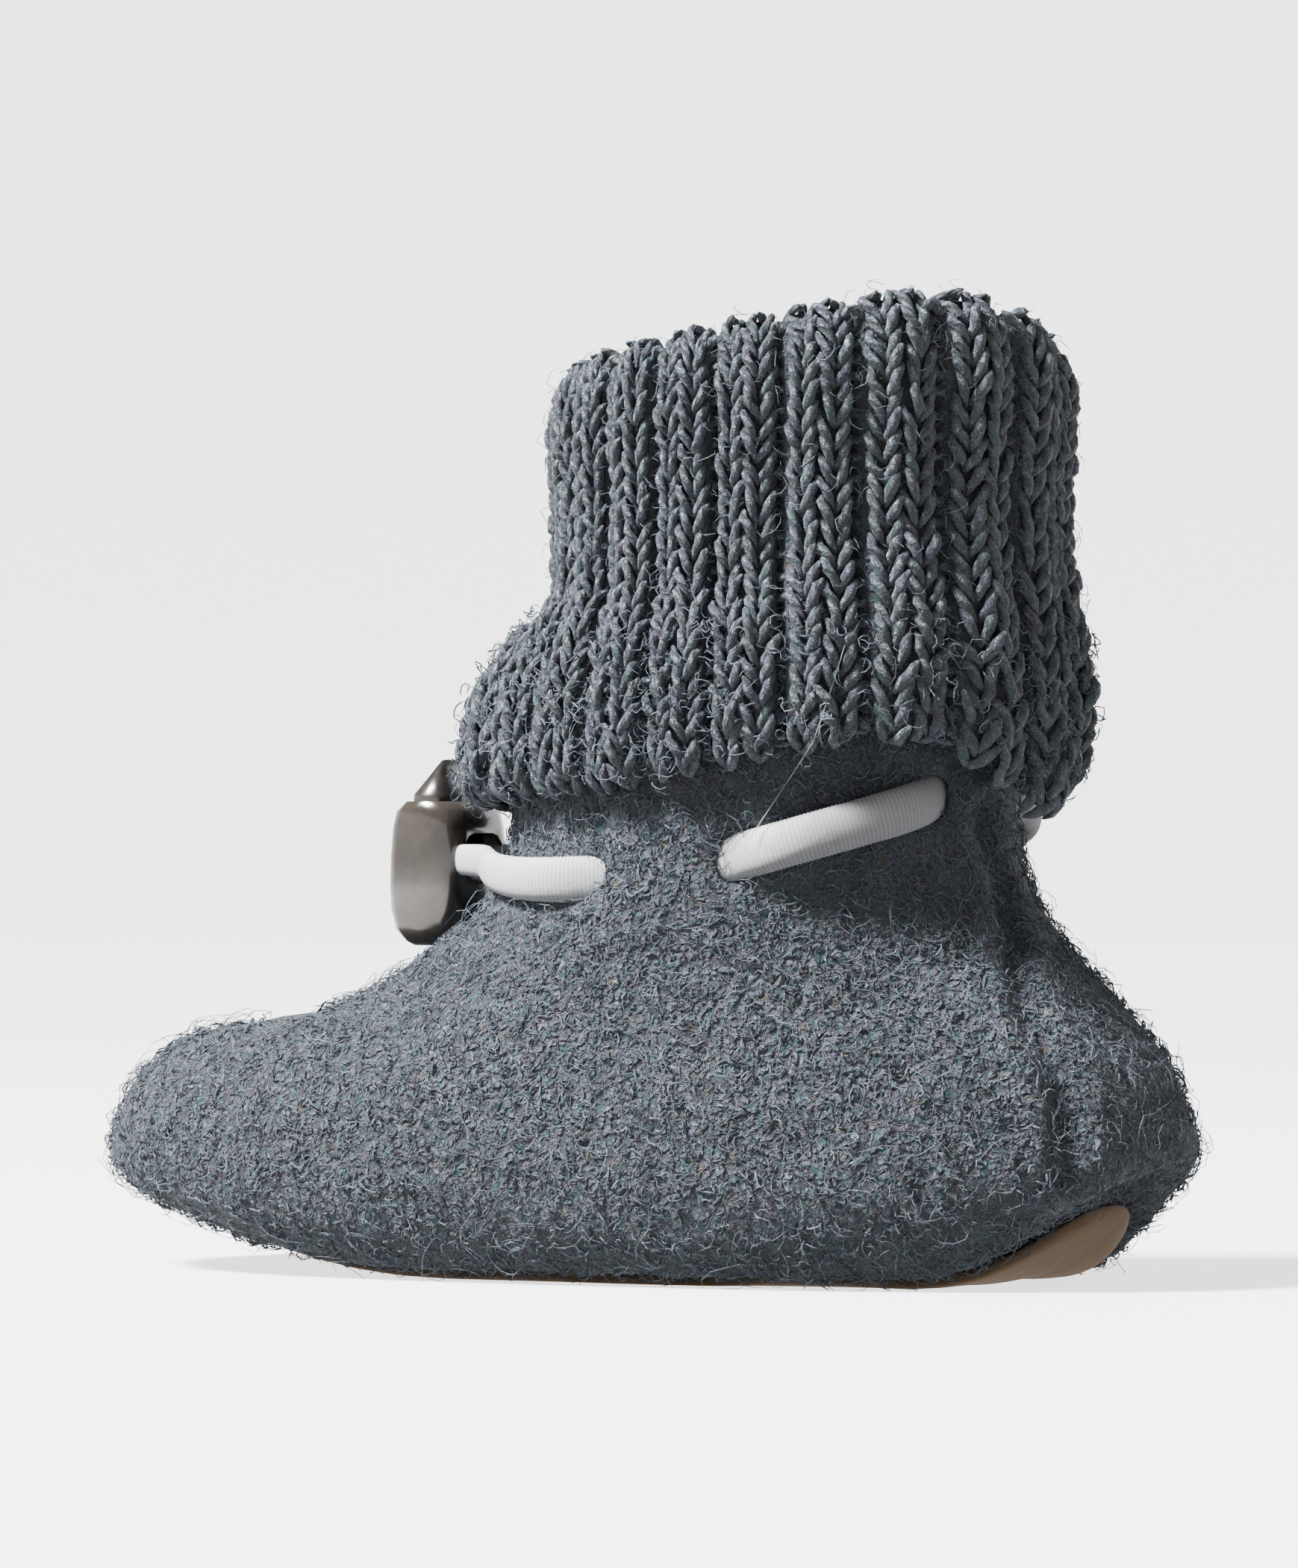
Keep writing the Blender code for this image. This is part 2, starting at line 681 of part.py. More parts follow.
def block(name, size, centre, collection, rounding, segments=3):
    """A block with its edges along X rounded."""
    made = bmesh.new()
    bmesh.ops.create_cube(made, size=1.0)
    bmesh.ops.scale(made, vec=size, verts=made.verts)
    edges = [edge for edge in made.edges if abs((edge.verts[0].co - edge.verts[1].co).x) > size[0] / 2]
    bmesh.ops.bevel(
        made,
        geom=edges,
        offset=rounding,
        offset_type="OFFSET",
        segments=segments,
        profile=0.5,
        affect="EDGES",
        clamp_overlap=True,
    )
    mesh = bpy.data.meshes.new(name)
    made.to_mesh(mesh)
    made.free()
    solid = mesh_object(name, mesh, collection)
    solid.location = centre
    return solid


def toggle_ring(depth, width, height):
    """A level ring with the toggle's rounded outline, about the toggle's own axis."""
    points = []
    for angle in angles(TOGGLE_SEGMENTS):
        x = depth / 2 * signed_power(math.cos(angle), TOGGLE_CORNER_SHARE)
        y = width / 2 * signed_power(math.sin(angle), TOGGLE_CORNER_SHARE)
        points.append(Vector((x, y, height)))
    return points


def toggle_top():
    """The middle of the housing's rim, on the toggle's own axis."""
    back = toggle_place()
    return Vector((back.x + TOGGLE_DEPTH / 2, 0, toggle_bottom() + TOGGLE_HEIGHT))


def well_size():
    """Depth and width of the well that the button slides in."""
    rim = TOGGLE_OUTSIDE[-1]
    return TOGGLE_DEPTH * rim.depth - 2 * TOGGLE_RIM, TOGGLE_WIDTH * rim.width - 2 * TOGGLE_RIM


def make_toggle_body(collection, cutters):
    """A cup with bulging sides, its origin in the middle of its rim."""
    rings = []
    for row in TOGGLE_OUTSIDE:
        height = (row.up - 1) * TOGGLE_HEIGHT
        rings.append(toggle_ring(TOGGLE_DEPTH * row.depth, TOGGLE_WIDTH * row.width, height))
    depth, width = well_size()
    floor = TOGGLE_FLOOR - TOGGLE_HEIGHT
    rings.append(toggle_ring(depth, width, 0.0))
    rings.append(toggle_ring(depth, width, floor / 2))
    rings.append(toggle_ring(depth, width, floor))
    poles = (Vector((0, 0, -TOGGLE_HEIGHT)), Vector((0, 0, floor)))
    body = mesh_object("toggle_body", skin("toggle_body", rings, poles=poles), collection, "smoke_plastic")
    body.location = toggle_top()
    mouth_width, mouth_height = cord_mouth()
    reach = TOGGLE_DEPTH - depth
    mouth = block(
        "toggle_mouth",
        (reach * 2, mouth_width, mouth_height),
        toggle_place(),
        cutters,
        mouth_height * TOGGLE_CORNER_SHARE,
    )
    cut(body, mouth, "cord mouth")
    return body


def toggle_bottom():
    """The cord goes in a little above the middle of the toggle."""
    return CORD_FRONT_HEIGHT - CORD_ENTRY_SHARE * TOGGLE_HEIGHT


def cord_mouth():
    """Width and height of the opening that both ends of the cord go through."""
    end_thickness = CORD_THICKNESS * CORD_END_SHARE
    width = 2 * CORD_SPACING_SHARE * TOGGLE_WIDTH + end_thickness + 2 * CORD_GAP
    return width, CORD_HEIGHT * CORD_END_SHARE + 2 * CORD_GAP


def make_toggle_button(collection, cutters):
    """A plunger whose head narrows to a blunt ridge, its origin in the middle of the housing's rim."""
    top = toggle_top()
    depth, width = (size - 2 * SLIDE_GAP for size in well_size())
    foot = TOGGLE_FLOOR + BUTTON_TRAVEL + SLIDE_GAP - TOGGLE_HEIGHT
    rings = [toggle_ring(depth, width, foot)]
    for row in BUTTON_HEAD:
        rings.append(toggle_ring(depth * row.depth, width * row.width, row.up * BUTTON_DOME))
    poles = (Vector((0, 0, foot)), Vector((0, 0, BUTTON_DOME)))
    button = mesh_object(
        "toggle_button", skin("toggle_button", rings, poles=poles), collection, "smoke_plastic"
    )
    button.location = top
    mouth_width, mouth_height = cord_mouth()
    slot = block(
        "button_slot",
        (TOGGLE_DEPTH * 2, mouth_width, mouth_height + BUTTON_TRAVEL),
        toggle_place() + Vector((0, 0, BUTTON_TRAVEL / 2)),
        cutters,
        mouth_height * TOGGLE_CORNER_SHARE,
    )
    cut(button, slot, "cord slot")
    return button


def build():
    collection, cutters = fresh_scene()
    upper = make_upper(collection)
    make_sole(collection)
    make_insole(collection)
    make_cuff(collection)
    _cord, holes = make_cord(collection, cutters)
    cut(upper, holes, "cord holes")
    make_toggle_body(collection, cutters)
    make_toggle_button(collection, cutters)


build()
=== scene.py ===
# %% [markdown]
# Baby slipper in felted wool
#
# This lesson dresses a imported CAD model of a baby's slipper. The real one is a felted wool bootie on a
# thin suede sole. A thick rib-knit cuff is folded over its ankle, and a white elastic drawcord with a
# smoky toggle closes it. The CAD model is the frame: it fixes every size and every place, and the
# cells below add what it leaves out, such as yarn, fibres, grain and light.

# %% Load the frame
import json
import math
import random

import bmesh
import bpy
import numpy as np
from mathutils import Matrix, Vector, noise
from mathutils.bvhtree import BVHTree

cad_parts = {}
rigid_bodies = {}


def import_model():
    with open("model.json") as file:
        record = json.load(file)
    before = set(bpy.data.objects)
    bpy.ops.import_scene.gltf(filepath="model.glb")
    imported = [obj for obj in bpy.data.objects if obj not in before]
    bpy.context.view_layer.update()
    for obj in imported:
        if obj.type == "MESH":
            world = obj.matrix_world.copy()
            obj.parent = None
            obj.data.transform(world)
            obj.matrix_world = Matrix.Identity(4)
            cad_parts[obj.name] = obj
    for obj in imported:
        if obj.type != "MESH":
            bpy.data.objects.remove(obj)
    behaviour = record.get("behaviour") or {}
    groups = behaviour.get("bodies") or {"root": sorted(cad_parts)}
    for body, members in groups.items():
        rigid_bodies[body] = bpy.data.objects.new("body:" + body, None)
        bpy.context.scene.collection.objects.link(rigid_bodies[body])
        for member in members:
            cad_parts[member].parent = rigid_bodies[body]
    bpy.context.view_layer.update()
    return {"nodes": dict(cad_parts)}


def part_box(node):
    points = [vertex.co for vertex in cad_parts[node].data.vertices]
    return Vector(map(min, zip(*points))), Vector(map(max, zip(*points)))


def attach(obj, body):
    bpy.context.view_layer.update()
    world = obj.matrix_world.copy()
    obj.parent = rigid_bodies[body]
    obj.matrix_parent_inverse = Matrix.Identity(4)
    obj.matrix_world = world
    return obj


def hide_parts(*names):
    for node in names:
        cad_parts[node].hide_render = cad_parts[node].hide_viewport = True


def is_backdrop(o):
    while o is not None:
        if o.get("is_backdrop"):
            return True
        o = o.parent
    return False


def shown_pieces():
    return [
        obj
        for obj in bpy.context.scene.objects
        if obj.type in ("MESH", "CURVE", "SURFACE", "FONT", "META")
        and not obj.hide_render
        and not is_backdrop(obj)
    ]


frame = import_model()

MM = 0.001
nodes = frame["nodes"]
print("CAD nodes:", sorted(nodes))

# %% [markdown]
# The camera stands where the photograph was taken: low, level, a little behind the shoe's left side. Its
# place was found by laying the CAD outline over the photograph. A long lens fills the frame with the
# one shoe. The same numbers turn a pixel of the photograph into a ray, and later cells use that ray to
# find where a seam or a stray hair lies on the shoe.

# %% Camera
TOWARDS_CAMERA = Vector((-0.5, 0.866, 0.0)).normalized()
PICTURE_RIGHT = Vector((-0.866, -0.5, 0.0)).normalized()
CAMERA_DISTANCE = 1.0
CAMERA_HEIGHT = 51.5 * MM
LENS = 218.0
camera_data = bpy.data.cameras.new("camera")
camera_data.lens = LENS
camera_data.sensor_width = 36.0
camera_data.clip_start = 0.05
camera = bpy.data.objects.new("camera", camera_data)
bpy.context.scene.collection.objects.link(camera)
camera.location = TOWARDS_CAMERA * CAMERA_DISTANCE + Vector((0, 0, CAMERA_HEIGHT))
camera.rotation_euler = (-TOWARDS_CAMERA).to_track_quat("-Z", "Y").to_euler()
bpy.context.scene.camera = camera

PHOTO_FOCAL = 8510.0
PHOTO_CENTRE = (636.0, 1399.0)


def photo_ray(column, row):
    """Where the photograph's camera stands, and the direction in which it sees a pixel."""
    across = (column - PHOTO_CENTRE[0]) / PHOTO_FOCAL
    down = (row - PHOTO_CENTRE[1]) / PHOTO_FOCAL
    way = -TOWARDS_CAMERA + PICTURE_RIGHT * across - Vector((0, 0, down))
    return camera.location.copy(), way.normalized()


print("camera at", [round(value, 3) for value in camera.location], "lens", LENS)

# %% [markdown]
# The photograph has a white studio round it, lit softly from the upper left. A wide bowl, flat in the
# middle and turned up at its edge, makes a floor with no horizon from any side. One large lamp stands on
# the toe's side. The paper throws no light back on the shoe, so that the shading falls off from toe to
# heel as it does in the photograph, and it glows, which keeps the background near white.

# %% Studio
FLOOR_RADIUS = 2.4
BOWL_RISE = 2.2
BOWL_SIDES = 96
BOWL_STEPS = 12


def studio_bowl():
    """A flat disc whose edge turns up in a quarter circle."""
    profile = [(0.4, 0.0), (1.2, 0.0), (FLOOR_RADIUS, 0.0)]
    for step in range(1, BOWL_STEPS + 1):
        turn = math.pi / 2 * step / BOWL_STEPS
        profile.append((FLOOR_RADIUS + BOWL_RISE * math.sin(turn), BOWL_RISE * (1 - math.cos(turn))))
    made = bmesh.new()
    middle = made.verts.new((0, 0, 0))
    before = None
    for reach, height in profile:
        ring = []
        for step in range(BOWL_SIDES):
            turn = 2 * math.pi * step / BOWL_SIDES
            ring.append(made.verts.new((reach * math.cos(turn), reach * math.sin(turn), height)))
        for index in range(BOWL_SIDES):
            after = (index + 1) % BOWL_SIDES
            if before:
                made.faces.new((before[index], ring[index], ring[after], before[after]))
            else:
                made.faces.new((middle, ring[index], ring[after]))
        before = ring
    mesh = bpy.data.meshes.new("studio_floor")
    made.to_mesh(mesh)
    made.free()
    mesh.shade_smooth()
    floor = bpy.data.objects.new("studio_floor", mesh)
    bpy.context.scene.collection.objects.link(floor)
    return floor


def soft_lamp(name, place, target, size, power):
    """A square soft box that looks at a target."""
    data = bpy.data.lights.new(name, "AREA")
    data.shape = "SQUARE"
    data.size = size
    data.energy = power
    lamp = bpy.data.objects.new(name, data)
    lamp.location = place
    lamp.rotation_euler = (target - place).to_track_quat("-Z", "Y").to_euler()
    bpy.context.scene.collection.objects.link(lamp)
    return lamp


floor = studio_bowl()
paper = bpy.data.materials.new("studio_paper")
paper.use_nodes = True
paper_values = {
    "Base Color": (0.93, 0.93, 0.92, 1),
    "Roughness": 0.75,
    "Emission Color": (1.0, 1.0, 1.0, 1),
    "Emission Strength": 2.0,
}
for socket, value in paper_values.items():
    paper.node_tree.nodes["Principled BSDF"].inputs[socket].default_value = value
floor.data.materials.append(paper)
floor.visible_diffuse = False
floor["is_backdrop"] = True

up = Vector((0, 0, 1))
middle_height = Vector((0, 0, 0.045))
soft_lamp("key_lamp", TOWARDS_CAMERA * 0.38 - PICTURE_RIGHT * 1.12 + up * 1.55, middle_height, 0.45, 200.0)
for side in (-1, 1):
    wall_spot = -TOWARDS_CAMERA * 4.0 + PICTURE_RIGHT * side * 1.5 + up * 0.8
    wall_place = -TOWARDS_CAMERA * 1.2 + PICTURE_RIGHT * side + up * 1.6
    soft_lamp(f"wall_lamp_{side}", wall_place, wall_spot, 1.0, 60.0)
world = bpy.data.worlds.new("studio")
world.use_nodes = True
world.node_tree.nodes["Background"].inputs["Color"].default_value = (1.0, 1.0, 1.0, 1)
world.node_tree.nodes["Background"].inputs["Strength"].default_value = 0.14
bpy.context.scene.world = world
print("studio floor", FLOOR_RADIUS, "m flat")

# %% [markdown]
# Every piece is made by the same few steps: take a merged copy of a CAD node, change it, and hang it on
# the body it moves with. A CAD node comes in as loose triangles, so its copy is merged before anything
# else. Modifiers are turned into plain meshes, because only plain meshes can ride on a body safely.

# %% Helpers for pieces
random.seed(7)


def cad_copy(node):
    """A merged copy of a CAD node's shape."""
    made = bmesh.new()
    made.from_mesh(nodes[node].data)
    bmesh.ops.remove_doubles(made, verts=made.verts, dist=0.01 * MM)
    return made


def object_from(made, name, finish=None):
    """A bmesh as a plain object at the origin."""
    mesh = bpy.data.meshes.new(name)
    made.to_mesh(mesh)
    made.free()
    piece = bpy.data.objects.new(name, mesh)
    bpy.context.scene.collection.objects.link(piece)
    if finish:
        mesh.materials.append(finish)
    return piece


def settle(piece):
    """Applies every modifier of a piece by taking the mesh that Blender works out for it."""
    bpy.context.view_layer.update()
    graph = bpy.context.evaluated_depsgraph_get()
    mesh = bpy.data.meshes.new_from_object(
        piece.evaluated_get(graph), preserve_all_data_layers=True, depsgraph=graph
    )
    piece.modifiers.clear()
    piece.data = mesh
    mesh.name = piece.name
    return piece


def triangles(piece):
    piece.data.calc_loop_triangles()
    return len(piece.data.loop_triangles)


def hang(piece, body, slot, *replaced):
    """Rides a piece on a body and says which CAD nodes it stands for; the slot is not used."""
    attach(piece, body)
    if replaced:
        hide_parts(*replaced)
    print(piece.name, "on", body + ",", triangles(piece), "triangles")
    return piece


def points_of(mesh):
    """The mesh's points as rows of x, y, z."""
    flat = np.empty(len(mesh.vertices) * 3)
    mesh.vertices.foreach_get("co", flat)
    return flat.reshape(-1, 3)


def normals_of(mesh):
    flat = np.empty(len(mesh.vertices) * 3)
    mesh.vertices.foreach_get("normal", flat)
    return flat.reshape(-1, 3)


def write_points(mesh, rows):
    mesh.vertices.foreach_set("co", np.ascontiguousarray(rows).ravel())
    mesh.update()


# %% [markdown]
# A material is a small tree of nodes. The two helpers below add a node with its sockets filled, and a
# colour ramp. Fixed values are set on the shader itself, so that they survive an export.

# %% Helpers for materials
def add(tree, kind, sockets=None, **options):
    """Adds a node, sets its options, and fills its sockets with values or with other outputs."""
    made = tree.nodes.new(kind)
    for option, value in options.items():
        setattr(made, option, value)
    for socket, value in (sockets or {}).items():
        if isinstance(value, bpy.types.NodeSocket):
            tree.links.new(value, made.inputs[socket])
        else:
            made.inputs[socket].default_value = value
    return made


def reckoned(tree, operation, *values):
    """The result of one sum on values or outputs."""
    return add(tree, "ShaderNodeMath", dict(enumerate(values)), operation=operation).outputs[0]


def ramp(tree, factor, stops):
    """A colour ramp with the given (place, colour) stops."""
    made = add(tree, "ShaderNodeValToRGB", {0: factor})
    while len(made.color_ramp.elements) < len(stops):
        made.color_ramp.elements.new(0.5)
    for element, (place, colour) in zip(made.color_ramp.elements, stops):
        element.position = place
        element.color = (*colour, 1.0)
    return made.outputs["Color"]


def mixed(tree, factor, first, second, blend="MIX"):
    """Two colours mixed."""
    made = add(tree, "ShaderNodeMix", {0: factor}, data_type="RGBA", blend_type=blend)
    for socket, value in ((6, first), (7, second)):
        if isinstance(value, bpy.types.NodeSocket):
            tree.links.new(value, made.inputs[socket])
        else:
            made.inputs[socket].default_value = (*value, 1.0)
    return made.outputs[2]


def new_finish(name, **shader_values):
    """A material with its shader's fixed values set, ready for its pattern."""
    made = bpy.data.materials.new(name)
    made.use_nodes = True
    shader = made.node_tree.nodes["Principled BSDF"]
    for socket, value in shader_values.items():
        shader.inputs[socket.replace("_", " ")].default_value = value
    return made, made.node_tree, shader


def place_in(tree):
    return add(tree, "ShaderNodeTexCoord").outputs["Object"]


def grain(tree, place, scale, detail=3.0, roughness=0.6, distortion=0.0):
    """Cloudy noise from 0 to 1, its scale in features to the metre."""
    sockets = {
        "Vector": place,
        "Scale": scale,
        "Detail": detail,
        "Roughness": roughness,
        "Distortion": distortion,
    }
    return add(tree, "ShaderNodeTexNoise", sockets).outputs["Fac"]


def bumped(tree, height, strength, distance, under=None):
    sockets = {"Height": height, "Strength": strength, "Distance": distance}
    if under is not None:
        sockets["Normal"] = under
    return add(tree, "ShaderNodeBump", sockets).outputs["Normal"]


# %% [markdown]
# The wool is one heathered mix: slate, blue-grey and pale fibres with a few teal, violet and straw ones.
# The felt shell, the loose fibres and the yarn all take their colours from the same ramps. The shell
# reads them by place. A fibre or a strand reads them from a number that it was given when it was made.

# %% Wool colours
WOOL_STOPS = (
    (0.00, (0.0055, 0.007, 0.0095)),
    (0.25, (0.028, 0.036, 0.046)),
    (0.50, (0.084, 0.103, 0.128)),
    (0.75, (0.202, 0.238, 0.280)),
    (1.00, (0.455, 0.500, 0.550)),
)
TINT_STOPS = (
    (0.00, (0.050, 0.175, 0.160)),
    (0.30, (0.080, 0.130, 0.145)),
    (0.55, (0.110, 0.100, 0.105)),
    (0.78, (0.120, 0.110, 0.230)),
    (1.00, (0.230, 0.195, 0.120)),
)
SHADE_NAME = "wool_shade"
TINT_NAME = "wool_tint"
ROUND_NAME = "yarn_round"
PLY_PITCH = 2.0 * MM
TINT_SHARE = 0.32


def moved(tree, place, shift):
    return add(tree, "ShaderNodeVectorMath", {0: place, 1: (shift, shift * 0.7, -shift * 1.3)}).outputs[0]


def fibre_lines(tree, place, scale, repeats, width, shift):
    """Thin curly lines, like fibres lying on the surface: the contour lines of a soft noise."""
    soft = grain(tree, moved(tree, place, shift), scale, 1.0, 0.5, 0.8)
    folded = reckoned(tree, "MULTIPLY", soft, float(repeats))
    folded = reckoned(tree, "PINGPONG", folded, 0.5)
    line = {"Value": folded, "From Min": 0.0, "From Max": width, "To Min": 1.0, "To Max": 0.0}
    return add(tree, "ShaderNodeMapRange", line, interpolation_type="SMOOTHSTEP").outputs[0]


def highest(tree, *values):
    result = values[0]
    for value in values[1:]:
        result = reckoned(tree, "MAXIMUM", result, value)
    return result


def mapped(tree, value, low, high, to_low, to_high):
    sockets = {"Value": value, "From Min": low, "From Max": high, "To Min": to_low, "To Max": to_high}
    return add(tree, "ShaderNodeMapRange", sockets).outputs[0]


def blended(tree, share, first, second):
    return add(tree, "ShaderNodeMix", {0: share, 2: first, 3: second}).outputs[0]


def wool_by_place(name, brightest=0.86, pit_shade_darkest=0.05):
    """Felted wool: curly fibres drawn by colour and bump over small tufts, with painted shade in the pits
    between.
    """
    made, tree, shader = new_finish(name, Roughness=0.95)
    place = place_in(tree)
    lines = highest(
        tree,
        fibre_lines(tree, place, 380.0, 5, 0.13, 0.0),
        fibre_lines(tree, place, 520.0, 5, 0.14, 0.31),
        fibre_lines(tree, place, 300.0, 7, 0.14, 0.73),
    )
    stir = add(tree, "ShaderNodeTexNoise", {"Vector": place, "Scale": 700.0, "Detail": 2.0}).outputs["Color"]
    stir = add(tree, "ShaderNodeVectorMath", {0: stir, "Scale": 1.6 * MM}, operation="SCALE").outputs[0]
    stirred = add(tree, "ShaderNodeVectorMath", {0: place, 1: stir}).outputs[0]
    cells = add(tree, "ShaderNodeTexVoronoi", {"Vector": stirred, "Scale": 1300.0}).outputs["Distance"]
    tuft_height_and_pit_shade = mapped(tree, cells, 0.20, 0.66, 1.0, 0.0)
    fleck = grain(tree, place, 2000.0, 3.0, 0.7, 1.0)
    lit = mapped(tree, fleck, 0.40, 0.60, 0.22, brightest)
    # Painted shade: the wool is darker in the pits between the tufts, where shade falls.
    low = mapped(tree, tuft_height_and_pit_shade, 0.0, 1.0, pit_shade_darkest, 0.48)
    shade = blended(tree, lines, low, lit)
    hue = grain(tree, moved(tree, place, 0.5), 1100.0, 2.0)
    tint = ramp(tree, mapped(tree, hue, 0.34, 0.66, 0.0, 1.0), TINT_STOPS)
    colour = mixed(tree, TINT_SHARE, ramp(tree, shade, WOOL_STOPS), tint)
    tree.links.new(colour, shader.inputs["Base Color"])
    nap = bumped(tree, tuft_height_and_pit_shade, 1.0, 0.45 * MM)
    nap = bumped(tree, lines, 0.9, 0.25 * MM, nap)
    tree.links.new(nap, shader.inputs["Normal"])
    return made


def ply_stripe(tree):
    """The twist of a two-ply yarn, from 0 in the groove to 1 on a ply."""
    around = add(tree, "ShaderNodeAttribute", attribute_name=ROUND_NAME).outputs["Vector"]
    split = add(tree, "ShaderNodeSeparateXYZ", {0: around}).outputs
    turn = reckoned(tree, "ARCTAN2", split[1], split[0])
    both = reckoned(tree, "MULTIPLY", turn, 2.0)
    per_metre = 2 * math.pi / PLY_PITCH
    along = reckoned(tree, "MULTIPLY", split[2], per_metre)
    phase = reckoned(tree, "ADD", both, along)
    wave = reckoned(tree, "SINE", phase)
    return mapped(tree, wave, -1.0, 0.7, 0.0, 1.0)


def wool_by_strand(name, fine_scale, own_share, lowest, brightest, contrast=0.2, plied=False):
    """Wool for fibres and yarn: own shade, tint and finer flecks, and painted shade in the ply grooves."""
    made, tree, shader = new_finish(name, Roughness=0.85)
    place = place_in(tree)
    own = add(tree, "ShaderNodeAttribute", attribute_name=SHADE_NAME).outputs["Fac"]
    hue = add(tree, "ShaderNodeAttribute", attribute_name=TINT_NAME).outputs["Fac"]
    fleck = grain(tree, place, fine_scale, 3.0, 0.7, 1.0)
    fleck = mapped(tree, fleck, 0.5 - contrast, 0.5 + contrast, 0.0, 1.0)
    shade = mapped(tree, blended(tree, own_share, fleck, own), 0.0, 1.0, lowest, brightest)
    if plied:
        stripe = ply_stripe(tree)
        # Painted shade: plied yarn is darkened in the grooves between its plies.
        groove = mapped(tree, stripe, 0.0, 0.6, 0.30, 1.0)
        shade = reckoned(tree, "MULTIPLY", shade, groove)
    patch = mapped(tree, grain(tree, moved(tree, place, 0.4), fine_scale * 0.6, 2.0), 0.3, 0.7, 0.0, 1.0)
    tint = ramp(tree, blended(tree, 0.6, hue, patch), TINT_STOPS)
    colour = mixed(tree, TINT_SHARE, ramp(tree, shade, WOOL_STOPS), tint)
    tree.links.new(colour, shader.inputs["Base Color"])
    nap = bumped(tree, fleck, 0.8, 0.2 * MM)
    if plied:
        nap = bumped(tree, stripe, 1.0, 0.25 * MM, nap)
    tree.links.new(nap, shader.inputs["Normal"])
    return made


felt_finish = wool_by_place("boiled_wool", 0.86, 0.02)
lining_finish = wool_by_place("sock_felt", 0.7)
# The knit ground is near-black wool: painted shade for the gaps and furrows between the stitches.
knit_shade_finish = wool_by_place("knit_ground", 0.16, 0.0)
fibre_finish = wool_by_strand("loose_fibre", 2000.0, 0.50, 0.10, 0.96)
yarn_finish = wool_by_strand("heather_yarn", 2300.0, 0.20, 0.02, 1.06, 0.11, True)
print("wool finishes:", [item.name for item in (felt_finish, fibre_finish, yarn_finish)])

# %% [markdown]
# The upper is one shell of boiled wool, about 2.6 mm thick. The CAD solid has flat facets and sharp
# rims. A voxel remesh turns its copy into one even skin, and a smoothing pass takes the facets off and
# rounds the rims as cut felt is round. Then the points are pushed along their normals: low lumps that
# felting leaves, and a seam near the heel, found with rays from the photograph's camera.

# %% Felt shell
FELT_VOXEL = 0.8 * MM
SEAM_PIXELS = ((933, 1432), (950, 1480), (960, 1530), (975, 1610), (1000, 1652), (1010, 1690), (1012, 1745))
SEAM_WIDTH = 1.5 * MM
SEAM_DEPTH = 1.1 * MM


def smooth_copy(node, name, voxel, rounds, finish):
    """A CAD node's shape as one even, rounded skin."""
    piece = object_from(cad_copy(node), name, finish)
    even = piece.modifiers.new("even skin", "REMESH")
    even.mode = "VOXEL"
    even.voxel_size = voxel
    even.use_smooth_shade = True
    soft = piece.modifiers.new("soft", "SMOOTH")
    soft.factor = 0.5
    soft.iterations = rounds
    return settle(piece)


def polyline_distance(rows, line):
    """How far each point lies from a line through the given points."""
    nearest = np.full(len(rows), 1.0)
    for start, end in zip(line, line[1:]):
        start, way = np.array(start), np.array(end - start)
        along = np.clip((rows - start) @ way / (way @ way), 0, 1)
        nearest = np.minimum(nearest, np.linalg.norm(rows - start - along[:, None] * way, axis=1))
    return nearest


def lumps(rows, size, seed):
    """Soft noise from -1 to 1, one number for each point."""
    shift = Vector((seed * 3.1, seed * 1.7, seed * 2.3))
    return np.array([noise.noise(Vector(row) / size + shift) for row in rows])


felt = smooth_copy("upper", "felt_shell", FELT_VOXEL, 9, felt_finish)
felt_tree = BVHTree.FromPolygons(
    [v.co for v in felt.data.vertices], [p.vertices for p in felt.data.polygons]
)
seam_line = []
for column, row in SEAM_PIXELS:
    eye, way = photo_ray(column, row)
    place, normal, _index, _distance = felt_tree.ray_cast(eye, way)
    if place is not None:
        seam_line.append(place)
rows, ways = points_of(felt.data), normals_of(felt.data)
push = 0.32 * MM * lumps(rows, 9 * MM, 1) + 0.16 * MM * lumps(rows, 3.2 * MM, 2)
push += 0.10 * MM * lumps(rows, 1.3 * MM, 3)
near_seam = polyline_distance(rows, seam_line)
push -= SEAM_DEPTH * np.exp(-((near_seam / SEAM_WIDTH) ** 2))
push += 0.45 * MM * np.exp(-(((near_seam - 3.2 * MM) / (1.6 * MM)) ** 2))
write_points(felt.data, rows + ways * push[:, None])
felt.data.shade_smooth()
hang(felt, "slipper", "felt", "upper")
print("seam points", len(seam_line))

# %% [markdown]
# Boiled wool is covered with curly fibres that catch the light. Each is a thin tapered curl of
# 18 to 30 triangles. A Geometry Nodes tree strews them over the felt: it scatters points on the faces,
# turns a curl to lie on the surface, tips it a little, and gives it its own shade and tint.

